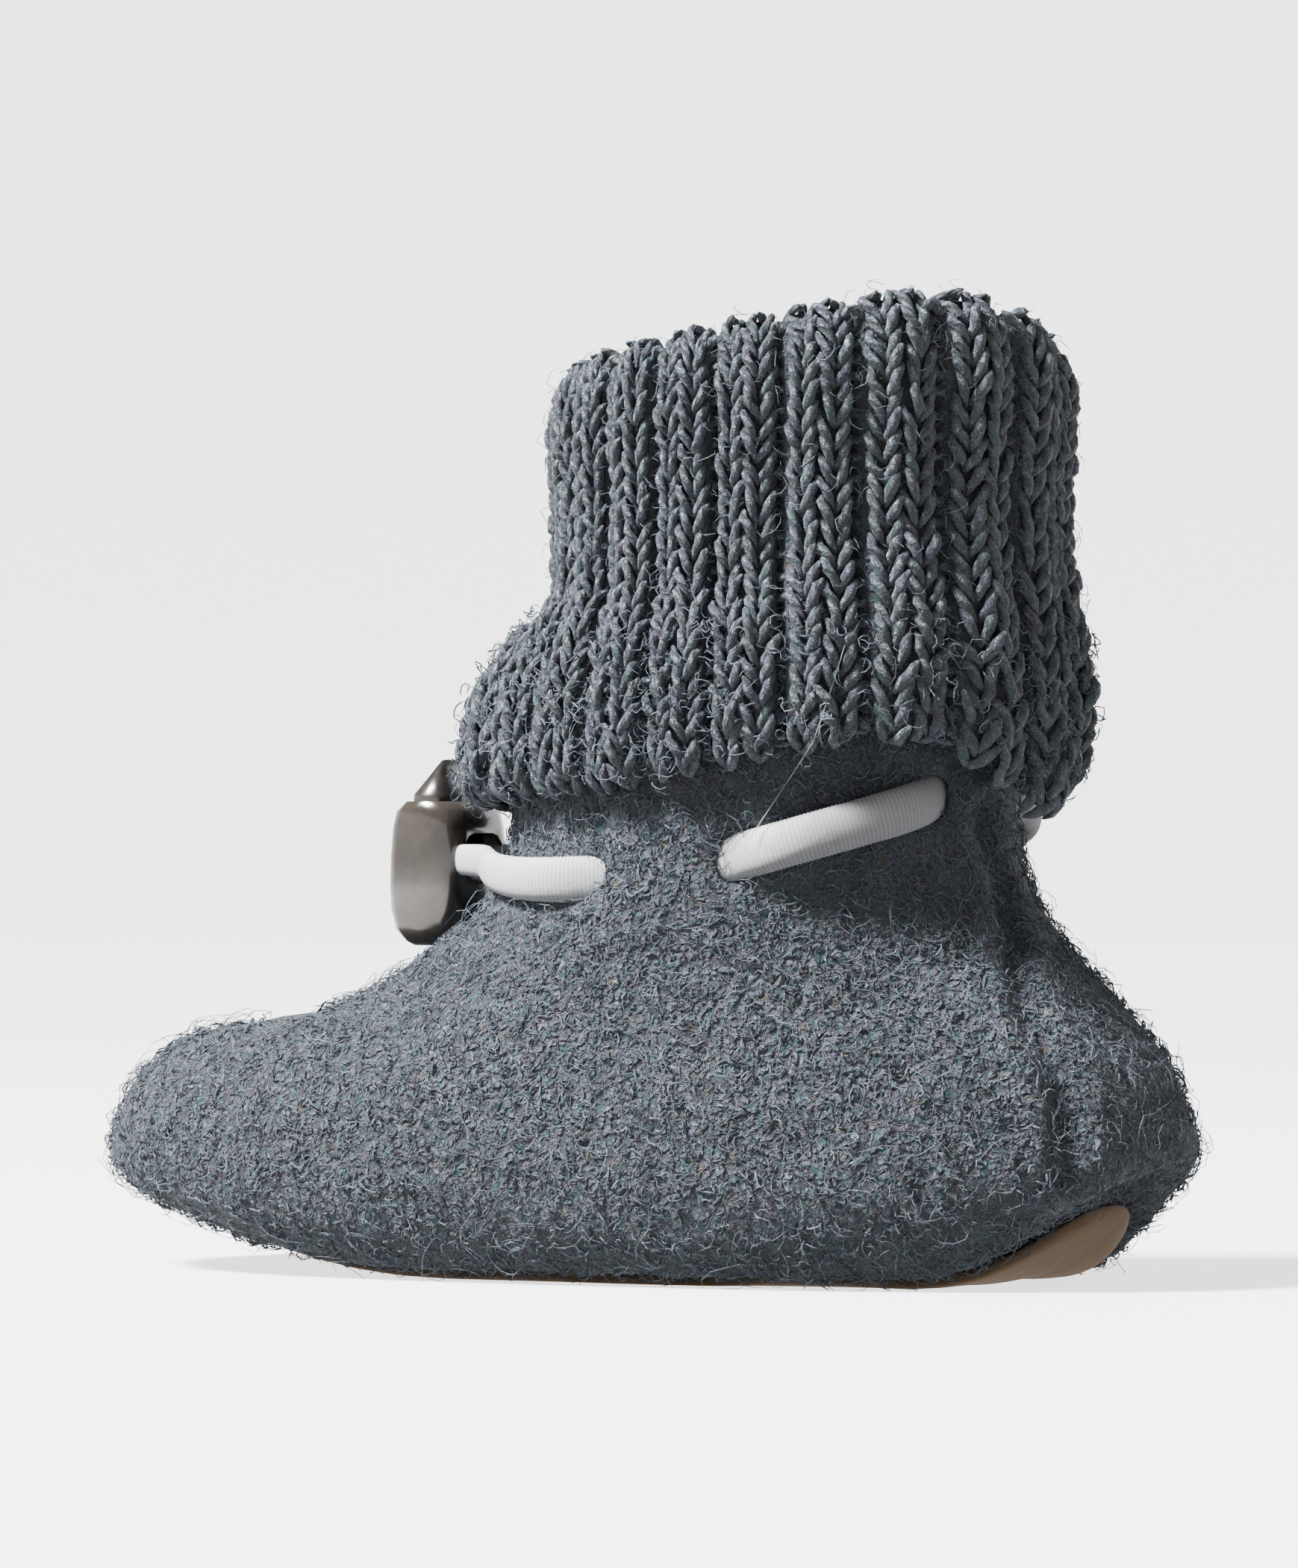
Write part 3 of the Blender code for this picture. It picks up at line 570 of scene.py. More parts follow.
# %% Curls of fibre
def strand_mesh(path, widths, sides, ends=True):
    """A closed tube along a path, one radius for each point, tapered to a point at both ends."""
    made = bmesh.new()
    round_place = made.verts.layers.float_vector.new(ROUND_NAME)
    path = [Vector(point) for point in path]
    side, run = None, 0.0
    rings = []
    for index, point in enumerate(path):
        before, after = path[max(index - 1, 0)], path[min(index + 1, len(path) - 1)]
        run += (point - before).length
        way = (after - before).normalized()
        if side is None:
            side = way.orthogonal().normalized()
        side = (side - way * side.dot(way)).normalized()
        other = way.cross(side)
        if ends and index in (0, len(path) - 1):
            rings.append([made.verts.new(point)])
            rings[-1][0][round_place] = (1.0, 0.0, run)
            continue
        ring = []
        for step in range(sides):
            turn = 2 * math.pi * step / sides
            ring.append(
                made.verts.new(point + (side * math.cos(turn) + other * math.sin(turn)) * widths[index])
            )
            ring[-1][round_place] = (math.cos(turn), math.sin(turn), run)
        rings.append(ring)
    for first, second in zip(rings, rings[1:]):
        for step in range(sides):
            after = (step + 1) % sides
            if len(first) == 1:
                made.faces.new((first[0], second[step], second[after]))
            elif len(second) == 1:
                made.faces.new((first[step], second[0], first[after]))
            else:
                made.faces.new((first[step], second[step], second[after], first[after]))
    bmesh.ops.recalc_face_normals(made, faces=made.faces)
    return made


def curl_path(reach, sweep, rise, wander, points):
    """A flat arc that rises in its middle, with its curvature wandering along it."""
    path, heading, place = [], random.uniform(0, 2 * math.pi), Vector((0, 0, 0))
    step = reach / (points - 1)
    for index in range(points):
        share = index / (points - 1)
        path.append(Vector((place.x, place.y, rise * math.sin(math.pi * share) * random.uniform(0.6, 1.2))))
        heading += sweep / (points - 1) + random.uniform(-wander, wander)
        place += Vector((math.cos(heading), math.sin(heading), 0)) * step
    middle = sum(path, Vector()) / points
    return [point - Vector((middle.x, middle.y, 0)) for point in path]


def curl_collection(name, count, length, sweep, rise, width, points, wander=0.5):
    """A hidden collection of curls for the nodes to pick from."""
    kept = bpy.data.collections.new(name)
    for index in range(count):
        reach = random.uniform(*length)
        path = curl_path(reach, random.uniform(*sweep) * random.choice((-1, 1)), rise, wander, points)
        widths = [width * random.uniform(0.8, 1.1) for _ in path]
        made = strand_mesh(path, widths, 3)
        mesh = bpy.data.meshes.new(f"{name}_{index}")
        made.to_mesh(mesh)
        made.free()
        kept.objects.link(bpy.data.objects.new(f"{name}_{index}", mesh))
    return kept


def forget(collection):
    """Removes a collection that only served as a stock of shapes."""
    for item in list(collection.objects):
        bpy.data.objects.remove(item)
    bpy.data.collections.remove(collection)


# %% [markdown]
# The tree scatters points on a mesh, lifts and turns each a little, puts a curl from a stock on it, and
# gives each curl its own shade and tint. Realized and given a finish, the curls are one plain mesh.

# %% Tree that strews fibres
def tree_with(name, inputs):
    """A Geometry Nodes tree with named inputs, and its input and output nodes."""
    tree = bpy.data.node_groups.new(name, "GeometryNodeTree")
    tree.interface.new_socket(name="Geometry", in_out="INPUT", socket_type="NodeSocketGeometry")
    tree.interface.new_socket(name="Geometry", in_out="OUTPUT", socket_type="NodeSocketGeometry")
    for label, kind in inputs:
        tree.interface.new_socket(name=label, in_out="INPUT", socket_type="NodeSocket" + kind)
    return tree, tree.nodes.new("NodeGroupInput").outputs, tree.nodes.new("NodeGroupOutput")


def chance(tree, kind, low, high, seed):
    """A random number, whole number or vector for each point."""
    made = add(tree, "FunctionNodeRandomValue", {"Seed": seed}, data_type=kind)
    first = {"FLOAT_VECTOR": 0, "FLOAT": 2, "INT": 4}[kind]
    for socket, value in ((made.inputs[first], low), (made.inputs[first + 1], high)):
        if isinstance(value, bpy.types.NodeSocket):
            tree.links.new(value, socket)
        else:
            socket.default_value = value
    return made.outputs[first // 2]


def keep_shade(tree, instances, seed):
    """Gives each instance its own shade and tint, as named attributes."""
    for name, offset in ((SHADE_NAME, 11), (TINT_NAME, 12)):
        own_seed = reckoned(tree, "ADD", seed, offset)
        value = chance(tree, "FLOAT", 0.0, 1.0, own_seed)
        stored = add(
            tree,
            "GeometryNodeStoreNamedAttribute",
            {"Geometry": instances, "Name": name, "Value": value},
            data_type="FLOAT",
            domain="INSTANCE",
        )
        instances = stored.outputs[0]
    return instances


def finish_tree(tree, instances, material, output):
    real = add(tree, "GeometryNodeRealizeInstances", {"Geometry": instances})
    dressed = add(tree, "GeometryNodeSetMaterial", {"Geometry": real.outputs[0], "Material": material})
    tree.links.new(dressed.outputs[0], output.inputs[0])
    return tree


def fibre_tree():
    tree, given, output = tree_with(
        "strew_fibres",
        (
            ("Fibres per square metre", "Float"),
            ("Curls", "Collection"),
            ("Tilt", "Float"),
            ("Lift", "Float"),
            ("Smallest", "Float"),
            ("Largest", "Float"),
            ("Seed", "Int"),
            ("Finish", "Material"),
        ),
    )
    strewn = add(
        tree,
        "GeometryNodeDistributePointsOnFaces",
        {
            "Mesh": given["Geometry"],
            "Density": given["Fibres per square metre"],
            "Seed": given["Seed"],
        },
    )
    down = reckoned(tree, "MULTIPLY", given["Tilt"], -1.0)
    low = add(tree, "ShaderNodeCombineXYZ", {0: down, 1: down, 2: -math.pi}).outputs[0]
    high = add(tree, "ShaderNodeCombineXYZ", {0: given["Tilt"], 1: given["Tilt"], 2: math.pi}).outputs[0]
    turn = chance(tree, "FLOAT_VECTOR", low, high, given["Seed"])
    laid = add(
        tree,
        "FunctionNodeRotateRotation",
        {"Rotation": strewn.outputs["Rotation"], "Rotate By": turn},
        rotation_space="LOCAL",
    )
    raised = add(tree, "ShaderNodeVectorMath", {0: strewn.outputs["Normal"]}, operation="SCALE")
    tree.links.new(chance(tree, "FLOAT", 0.0, given["Lift"], given["Seed"]), raised.inputs["Scale"])
    moved = add(
        tree, "GeometryNodeSetPosition", {"Geometry": strewn.outputs["Points"], "Offset": raised.outputs[0]}
    )
    stock = add(
        tree,
        "GeometryNodeCollectionInfo",
        {"Collection": given["Curls"], "Separate Children": True, "Reset Children": True},
    )
    size = chance(tree, "FLOAT", given["Smallest"], given["Largest"], given["Seed"])
    placed = add(
        tree,
        "GeometryNodeInstanceOnPoints",
        {
            "Points": moved.outputs[0],
            "Instance": stock.outputs[0],
            "Pick Instance": True,
            "Instance Index": chance(tree, "INT", 0, 99, given["Seed"]),
            "Rotation": laid.outputs[0],
            "Scale": size,
        },
    )
    marked = keep_shade(tree, placed.outputs[0], given["Seed"])
    return finish_tree(tree, marked, given["Finish"], output)


def grow(base, name, tree, **values):
    """Runs a tree on a copy of a base mesh and keeps the result as a plain piece."""
    piece = bpy.data.objects.new(name, base.data.copy())
    bpy.context.scene.collection.objects.link(piece)
    nodes_modifier = piece.modifiers.new("nodes", "NODES")
    nodes_modifier.node_group = tree
    named = {
        item.name: item.identifier for item in tree.interface.items_tree if item.in_out == "INPUT"
    }
    for label, value in values.items():
        nodes_modifier[named[label.replace("_", " ")]] = value
    return settle(piece)


strew = fibre_tree()
print("tree", strew.name, "with", len(strew.nodes), "nodes")

# %% [markdown]
# Only the outside of the felt that shows gets fibres. A helper keeps the faces that look away from the
# shoe's middle and lie below the cuff. Four passes lay them down: short flat ones that close the
# surface, round curls over those, and a few long fine ones that stand off and soften the outline.

# %% Fibres on the felt
def outside_faces(source, name, keep):
    """A helper object with only those faces for which keep(centre, normal) holds."""
    made = bmesh.new()
    made.from_mesh(source.data)
    drop = [face for face in made.faces if not keep(face.calc_center_median(), face.normal)]
    bmesh.ops.delete(made, geom=drop, context="FACES")
    return object_from(made, name)


def felt_shows(centre, normal):
    core = Vector((min(max(centre.x, -0.034), 0.030), 0, min(max(centre.z, 0.018), 0.026)))
    if centre.z > 0.026:
        core = Vector((-0.014, 0, centre.z))
    return centre.z < 0.058 and normal.dot((centre - core).normalized()) > 0.25


felt_outside = outside_faces(felt, "felt_outside", felt_shows)
felt_area = sum(face.area for face in felt_outside.data.polygons)
print("felt that shows:", round(felt_area * 1e4), "cm2")
FIBRE_PASSES = (
    ("felt_nap", 5600, (1.2 * MM, 2.6 * MM), (0.6, 3.6), 0.26 * MM, 0.115 * MM, 5, 0.7, 0.10 * MM, 3),
    ("felt_curls", 5600, (1.6 * MM, 3.2 * MM), (0.8, 4.6), 0.36 * MM, 0.090 * MM, 5, 0.7, 0.22 * MM, 4),
    ("felt_wisps", 5600, (1.4 * MM, 3.0 * MM), (0.8, 4.2), 0.45 * MM, 0.063 * MM, 5, 0.8, 0.30 * MM, 6),
    ("felt_fuzz", 3000, (3.5 * MM, 7.5 * MM), (0.8, 3.4), 0.90 * MM, 0.045 * MM, 6, 0.5, 0.40 * MM, 5),
)
for name, count, length, sweep, rise, width, points, tilt, lift, seed in FIBRE_PASSES:
    stock = curl_collection(name + "_stock", 10, length, sweep, rise, width, points)
    piece = grow(
        felt_outside,
        name,
        strew,
        Fibres_per_square_metre=count / felt_area,
        Curls=stock,
        Tilt=tilt,
        Lift=lift,
        Smallest=0.7,
        Largest=1.15,
        Seed=seed,
        Finish=fibre_finish,
    )
    forget(stock)
    hang(piece, "slipper", "felt")

# %% [markdown]
# The cuff is rib knit: pairs of raised columns of V stitches with deep dark furrows between. Its form
# comes from the CAD cuff. Half planes through the ankle's axis cut that solid, and each cut gives the
# knit's path at one angle: up from the hem, over the fold and down inside to the end of the lining.

# %% Paths through the cuff
RIBS = 22
ANGLES_PER_RIB = 12
CUFF_ANGLES = RIBS * ANGLES_PER_RIB
OUTSIDE_STEPS = 46
INSIDE_STEPS = 34
SLOT_STEPS = 12
CUFF_AXIS = -14.0 * MM
ANKLE_AXIS = Vector((CUFF_AXIS, 0, 0))


def ankle_cut(source, angle):
    """A copy of a shape cut through the ankle's axis at an angle, the cut items and the way ahead."""
    ahead = Vector((math.cos(angle), math.sin(angle), 0))
    sliced = source.copy()
    everything = sliced.verts[:] + sliced.edges[:] + sliced.faces[:]
    sideways = Vector((-ahead.y, ahead.x, 0))
    result = bmesh.ops.bisect_plane(
        sliced, geom=everything, plane_co=ANKLE_AXIS, plane_no=sideways, dist=1e-8
    )
    return sliced, result["geom_cut"], ahead


def half_section(source, angle):
    """The closed outline that a half plane through the ankle's axis cuts, from the hem up the outside."""
    sliced, cut, ahead = ankle_cut(source, angle)
    links = {}
    for edge in cut:
        if isinstance(edge, bmesh.types.BMEdge):
            first, second = edge.verts
            if (first.co + second.co - ANKLE_AXIS * 2).dot(ahead) > 0:
                links.setdefault(first, []).append(second)
                links.setdefault(second, []).append(first)
    start = min(links, key=lambda vert: vert.co.z)
    loop, before, here = [start], None, start
    while True:
        onward = [vert for vert in links[here] if vert is not before]
        before, here = here, onward[0]
        if here is start:
            break
        loop.append(here)
    outline = np.array([((vert.co - ANKLE_AXIS).dot(ahead), vert.co.z) for vert in loop])
    sliced.free()
    x, z = outline[:, 0], outline[:, 1]
    if np.sum(x * np.roll(z, -1) - np.roll(x, -1) * z) < 0:
        outline = np.vstack((outline[:1], outline[:0:-1]))
    return outline


def resampled(path, steps):
    """The same path with evenly spaced points."""
    gaps = np.linalg.norm(np.diff(path, axis=0), axis=1)
    along = np.concatenate(([0], np.cumsum(gaps)))
    wanted = np.linspace(0, along[-1], steps + 1)
    return np.stack([np.interp(wanted, along, path[:, axis]) for axis in range(2)], axis=1)


def cuff_paths():
    """Outside, inside and slot of the knit at every angle, as reach and height."""
    source = cad_copy("cuff")
    parts = ([], [], [])
    for index in range(CUFF_ANGLES):
        outline = half_section(source, 2 * math.pi * (index + 0.03) / CUFF_ANGLES)
        top = int(np.argmax(outline[:, 1]))
        foot = top
        while foot + 1 < len(outline) and outline[foot + 1, 1] < outline[foot, 1] + 0.2 * MM:
            foot += 1
        pieces = (outline[: top + 1], outline[top : foot + 1], np.vstack((outline[foot:], outline[:1])))
        for part, piece, steps in zip(parts, pieces, (OUTSIDE_STEPS, INSIDE_STEPS, SLOT_STEPS)):
            part.append(resampled(piece, steps))
    source.free()
    return [np.array(part) for part in parts]


def evened(rows):
    """The paths averaged over one rib's width, which takes the CAD's own ribs off them."""
    half = ANGLES_PER_RIB // 2
    total = sum(np.roll(rows, shift, axis=0) for shift in range(-half + 1, half))
    total = total + 0.5 * (np.roll(rows, half, axis=0) + np.roll(rows, -half, axis=0))
    return total / ANGLES_PER_RIB


outside, inside, slot = [evened(part) for part in cuff_paths()]
knit_path = np.concatenate((outside, inside[:, 1:]), axis=1)
lengths = [np.linalg.norm(np.diff(part, axis=1), axis=2).sum(axis=1) / MM for part in (outside, inside)]
print("outside path", lengths[0].min().round(1), "to", lengths[0].max().round(1), "mm")
print("inside path", lengths[1].min().round(1), "to", lengths[1].max().round(1), "mm")

# %% [markdown]
# Under the stitches lies a ground coloured almost black: painted shade for the gaps and furrows between
# the stitches, so that hardly any light shows there. It is the averaged cuff with a furrow pressed in
# between every two ribs, closed all round through the slot that holds the felt.

# %% Knit ground
FURROW_DEPTH = 2.3 * MM
GROUND_DROP = 0.6 * MM
FOLD_STEPS = 5.0
FOLD_LESS = 0.6


def furrow(phase):
    """How deep the ground lies at a place across a rib, from 0 on its middle to 0.5 in the furrow."""
    share = np.clip((np.abs(phase) - 0.40) / 0.10, 0, 1)
    return FURROW_DEPTH * share * share * (3 - 2 * share)


def cuff_point(angle_place, reach, height):
    turn = 2 * math.pi * angle_place / CUFF_ANGLES
    return Vector((CUFF_AXIS + reach * math.cos(turn), reach * math.sin(turn), height))


def knit_ground():
    closed = np.concatenate((outside, inside[:, 1:], slot[:, 1:-1]), axis=1)
    before, after = np.roll(closed, 1, axis=1), np.roll(closed, -1, axis=1)
    way = after - before
    way /= np.linalg.norm(way, axis=2, keepdims=True)
    out = np.stack((way[:, :, 1], -way[:, :, 0]), axis=2)
    count = closed.shape[1]
    stitched = OUTSIDE_STEPS + INSIDE_STEPS
    phase = ((np.arange(CUFF_ANGLES) / ANGLES_PER_RIB + 0.5) % 1.0) - 0.5
    drop = np.zeros((CUFF_ANGLES, count))
    drop[:, :OUTSIDE_STEPS + 4] = GROUND_DROP + furrow(phase)[:, None]
    drop[:, OUTSIDE_STEPS + 4:stitched] = GROUND_DROP * 0.8 + 0.4 * furrow(phase)[:, None]
    from_fold = (np.arange(count) - OUTSIDE_STEPS) / FOLD_STEPS
    drop *= 1 - FOLD_LESS * np.exp(-from_fold * from_fold)
    ground = closed - out * drop[:, :, None]
    made = bmesh.new()
    grid = [
        [made.verts.new(cuff_point(index, *ground[index, step])) for step in range(count)]
        for index in range(CUFF_ANGLES)
    ]
    for index in range(CUFF_ANGLES):
        here, beside = grid[index], grid[(index + 1) % CUFF_ANGLES]
        for step in range(count):
            after = (step + 1) % count
            made.faces.new((here[step], beside[step], beside[after], here[after]))
    return made


ground = object_from(knit_ground(), "knit_ground", knit_shade_finish)
ground.data.shade_smooth()
hang(ground, "slipper", "knit", "cuff")

# %% [markdown]
# A knit stitch shows as a V of two strands. Each strand is a short fat tube that comes up from behind the
# stitch below, leans outwards and dives in again. Python works out where each stitch lies on the cuff's
# path and which way it faces, and a Geometry Nodes tree puts a strand there, with a little unevenness.

# %% Strands of a stitch
STITCH_WIDTH = 3.3 * MM
STITCH_HEIGHT = 2.4 * MM
YARN_RADIUS = 0.56 * MM
WALE_PHASES = (-0.205, 0.205)
VARIANTS = 4
# across, along and out, in widths and heights of a stitch and radii of the yarn, then its own radius
STRAND_PATH = (
    (0.04, -0.42, -0.75, 0.45),
    (0.10, -0.12, -0.05, 0.80),
    (0.20, 0.22, 0.42, 1.00),
    (0.31, 0.58, 0.46, 1.00),
    (0.40, 0.92, 0.12, 0.85),
    (0.43, 1.20, -0.60, 0.50),
)
PURL_PATH = (
    (-0.30, 0.10, -0.60, 0.60),
    (-0.16, -0.05, 0.05, 0.90),
    (0.00, -0.10, 0.25, 1.00),
    (0.16, -0.05, 0.05, 0.90),
    (0.30, 0.10, -0.60, 0.60),
)


def strand_stock(name, sides):
    """Left and right strands of a V and a crosswise purl strand, each in a few uneven variants."""
    kept = bpy.data.collections.new(name)
    shapes = [(rows, hand) for rows, hand in ((STRAND_PATH, -1), (STRAND_PATH, 1), (PURL_PATH, 1))]
    for index, (rows, hand) in enumerate(shapes):
        for variant in range(VARIANTS):
            path = []
            for x, y, z, _share in rows:
                stray = [random.gauss(0, 0.03) for _ in range(3)]
                path.append(
                    Vector(
                        (
                            hand * (x + stray[0]) * STITCH_WIDTH,
                            (y + stray[1]) * STITCH_HEIGHT,
                            (z + stray[2] * 3) * YARN_RADIUS,
                        )
                    )
                )
            start = path[0] - (path[1] - path[0]) * 0.35
            end = path[-1] + (path[-1] - path[-2]) * 0.35
            widths = [YARN_RADIUS * row[3] * random.uniform(0.85, 1.1) for row in rows]
            made = strand_mesh([start] + path + [end], [0.0] + widths + [0.0], sides)
            label = f"{name}_{index}_{variant}"
            mesh = bpy.data.meshes.new(label)
            made.to_mesh(mesh)
            made.free()
            mesh.shade_smooth()
            kept.objects.link(bpy.data.objects.new(label, mesh))
    return kept


def stitch_tree():
    tree, given, output = tree_with(
        "lay_stitches",
        (("Strands", "Collection"), ("Unevenness", "Float"), ("Seed", "Int"), ("Finish", "Material")),
    )

    def own(kind, name):
        return add(tree, "GeometryNodeInputNamedAttribute", {"Name": name}, data_type=kind).outputs[0]

    stock = add(
        tree,
        "GeometryNodeCollectionInfo",
        {"Collection": given["Strands"], "Separate Children": True, "Reset Children": True},
    )
    placed = add(
        tree,
        "GeometryNodeInstanceOnPoints",
        {
            "Points": given["Geometry"],
            "Instance": stock.outputs[0],
            "Pick Instance": True,
            "Instance Index": own("INT", "stitch_hand"),
            "Rotation": own("FLOAT_VECTOR", "stitch_turn"),
            "Scale": own("FLOAT_VECTOR", "stitch_size"),
        },
    )
    less = reckoned(tree, "MULTIPLY", given["Unevenness"], -1.0)
    low = add(tree, "ShaderNodeCombineXYZ", {0: less, 1: less, 2: less}).outputs[0]
    more = given["Unevenness"]
    high = add(tree, "ShaderNodeCombineXYZ", {0: more, 1: more, 2: more}).outputs[0]
    turned = add(
        tree,
        "GeometryNodeRotateInstances",
        {"Instances": placed.outputs[0], "Rotation": chance(tree, "FLOAT_VECTOR", low, high, given["Seed"])},
    )
    marked = keep_shade(tree, turned.outputs[0], given["Seed"])
    return finish_tree(tree, marked, given["Finish"], output)


lay = stitch_tree()
print("tree", lay.name, "with", len(lay.nodes), "nodes")

# %% [markdown]
# The stitches are laid out in rows and ribs along the cuff's path. Each rib has two wales of V stitches,
# and a crosswise strand lies in the furrow between two ribs. Towards the hem the yarn is more teased.

# %% Places of the stitches
OUTSIDE_ROWS = 22
INSIDE_ROWS = 16
chooser = np.random.default_rng(21)


def on_knit(angle_place, step_place):
    """A point of the averaged cuff at fractional angle and path places."""
    angle_place %= CUFF_ANGLES
    a, s = int(angle_place), min(int(step_place), knit_path.shape[1] - 2)
    fa, fs = angle_place - a, step_place - s
    b = (a + 1) % CUFF_ANGLES
    first = knit_path[a, s] * (1 - fs) + knit_path[a, s + 1] * fs
    second = knit_path[b, s] * (1 - fs) + knit_path[b, s + 1] * fs
    reach, height = first * (1 - fa) + second * fa
    return cuff_point(angle_place, reach, height)


def stitch_places(first_row, last_row, row_steps, start_step, purl):
    """Place, turn, size and kind of every strand in a band of rows."""
    places, turns, sizes, hands = [], [], [], []
    for row in range(first_row, last_row):
        step = start_step + row * row_steps
        for rib in range(RIBS):
            for phase in WALE_PHASES + ((0.5,) if purl else ()):
                angle = (rib + phase) * ANGLES_PER_RIB
                here = on_knit(angle, step)
                above = on_knit(angle, min(step + row_steps, knit_path.shape[1] - 1.001))
                beside = on_knit(angle + 0.21 * ANGLES_PER_RIB, step)
                behind = on_knit(angle - 0.21 * ANGLES_PER_RIB, step)
                along, across = above - here, beside - behind
                tall, wide = along.length, across.length
                out = across.cross(along).normalized()
                along.normalize()
                across = along.cross(out)
                in_furrow = phase == 0.5
                lean = 0.0 if in_furrow else math.copysign(0.30, phase)
                across = (across - out * lean).normalized()
                out = across.cross(along)
                if in_furrow:
                    here = here - out * FURROW_DEPTH * 0.72
                turn = Matrix((across, along, out)).transposed().to_euler()
                teased = 1.0 + 0.8 * max(0.0, min(1.0, (0.071 - here.z) / 0.012)) * (start_step == 0)
                for hand in (2,) if in_furrow else (0, 1):
                    stray = chooser.standard_normal(3) * 0.07 * teased
                    places.append(here + Vector(chooser.standard_normal(3) * 0.10 * MM * teased))
                    turns.append([value + extra for value, extra in zip(turn, stray)])
                    size = 1.0 + 0.08 * chooser.standard_normal()
                    sizes.append((wide / STITCH_WIDTH, tall / STITCH_HEIGHT * 1.04, size))
                    hands.append(hand * VARIANTS + int(chooser.integers(VARIANTS)))
    return places, turns, sizes, hands


def point_cloud(name, places, turns, sizes, hands):
    """The stitches' places as loose points that carry their turn, size and hand."""
    mesh = bpy.data.meshes.new(name)
    mesh.from_pydata(places, [], [])
    for label, values in (("stitch_turn", turns), ("stitch_size", sizes)):
        kept = mesh.attributes.new(label, "FLOAT_VECTOR", "POINT")
        kept.data.foreach_set("vector", np.array(values, dtype=float).ravel())
    kept = mesh.attributes.new("stitch_hand", "INT", "POINT")
    kept.data.foreach_set("value", hands)
    piece = bpy.data.objects.new(name, mesh)
    bpy.context.scene.collection.objects.link(piece)
    return piece


KNIT_BANDS = (
    ("knit_outside", 0, OUTSIDE_ROWS + 2, OUTSIDE_STEPS / OUTSIDE_ROWS, 0.0, True, 6, 31),
    ("knit_inside", 2, INSIDE_ROWS, INSIDE_STEPS / INSIDE_ROWS, OUTSIDE_STEPS, False, 4, 32),
)
for name, first_row, last_row, row_steps, start, purl, sides, seed in KNIT_BANDS:
    cloud = point_cloud(name + "_places", *stitch_places(first_row, last_row, row_steps, start, purl))
    strands = strand_stock(name + "_strands", sides)
    piece = grow(cloud, name, lay, Strands=strands, Unevenness=0.07, Seed=seed, Finish=yarn_finish)
    forget(strands)
    bpy.data.objects.remove(cloud)
    hang(piece, "slipper", "knit")

# %% [markdown]
# Loose fibres stand off the knit as well, most of all round the rolled hem, where the yarn is teased into
# small loops. The same tree strews them over the outside faces of the knit ground.

# %% Fibres on the knit
def knit_shows(centre, normal):
    return normal.dot(Vector((centre.x - CUFF_AXIS, centre.y, 0)).normalized()) > 0.2 or normal.z > 0.5


def hem_shows(centre, normal):
    return knit_shows(centre, normal) and centre.z < 0.068 or normal.z < -0.6 and centre.z < 0.060


for name, keep, count, length, sweep, width, points, tilt, lift, seed in (
    ("knit_fuzz", knit_shows, 3000, (2.0 * MM, 4.5 * MM), (1.0, 4.5), 0.045 * MM, 5, 0.6, 1.7 * MM, 41),
    ("hem_loops", hem_shows, 1900, (2.2 * MM, 4.5 * MM), (2.4, 5.6), 0.078 * MM, 7, 0.6, 1.9 * MM, 42),
):
    base = outside_faces(ground, name + "_base", keep)
    area = sum(face.area for face in base.data.polygons)
    stock = curl_collection(name + "_stock", 8, length, sweep, 0.8 * MM, width, points)
    piece = grow(
        base,
        name,
        strew,
        Fibres_per_square_metre=count / area,
        Curls=stock,
        Tilt=tilt,
        Lift=lift,
        Smallest=0.7,
        Largest=1.15,
        Seed=seed,
        Finish=fibre_finish,
    )
    forget(stock)
    bpy.data.objects.remove(base)
    hang(piece, "slipper", "knit")
bpy.data.objects.remove(felt_outside)

# %% [markdown]
# The drawcord is a flat-oval elastic with fine ribs across it. Its path is read off the CAD cord, again
# with half planes: where the cord runs round the ankle, each cuts it once, and the middle of the cut is
# a point of the path. Only the two ends at the toggle run straight, and they are drawn from its box.

# %% Cord path
toggle_low, _toggle_high = (Vector(corner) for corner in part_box("toggle_body"))


def cord_middle(source, angle):
    """The middle of the cord where a half plane through the ankle's axis cuts it."""
    sliced, cut, ahead = ankle_cut(source, angle)
    cut = [item.co.copy() for item in cut if isinstance(item, bmesh.types.BMVert)]
    cut = [point for point in cut if (point - ANKLE_AXIS).dot(ahead) > 0]
    sliced.free()
    low = Vector([min(point[axis] for point in cut) for axis in range(3)])
    high = Vector([max(point[axis] for point in cut) for axis in range(3)])
    return (low + high) / 2


cord_solid = cad_copy("drawcord")
route = [cord_middle(cord_solid, math.radians(degrees + 0.2)) for degrees in range(16, 345, 4)]
cord_solid.free()
end_inside = Vector((toggle_low.x + 4 * MM, 2.4 * MM, route[0].z))
tail = [route[0].lerp(end_inside, share) for share in (0.35, 0.7, 1.0)]
for index, point in enumerate(tail):
    point.y = min(point.y, 2.9 * MM + 2 * MM * (1 - index / 2))
other = [Vector((point.x, -point.y, point.z)) for point in tail]
route = tail[::-1] + route + other
gaps = [(b - a).length for a, b in zip(route, route[1:])]
print("cord length", round(sum(gaps) / MM), "mm in", len(route), "points")
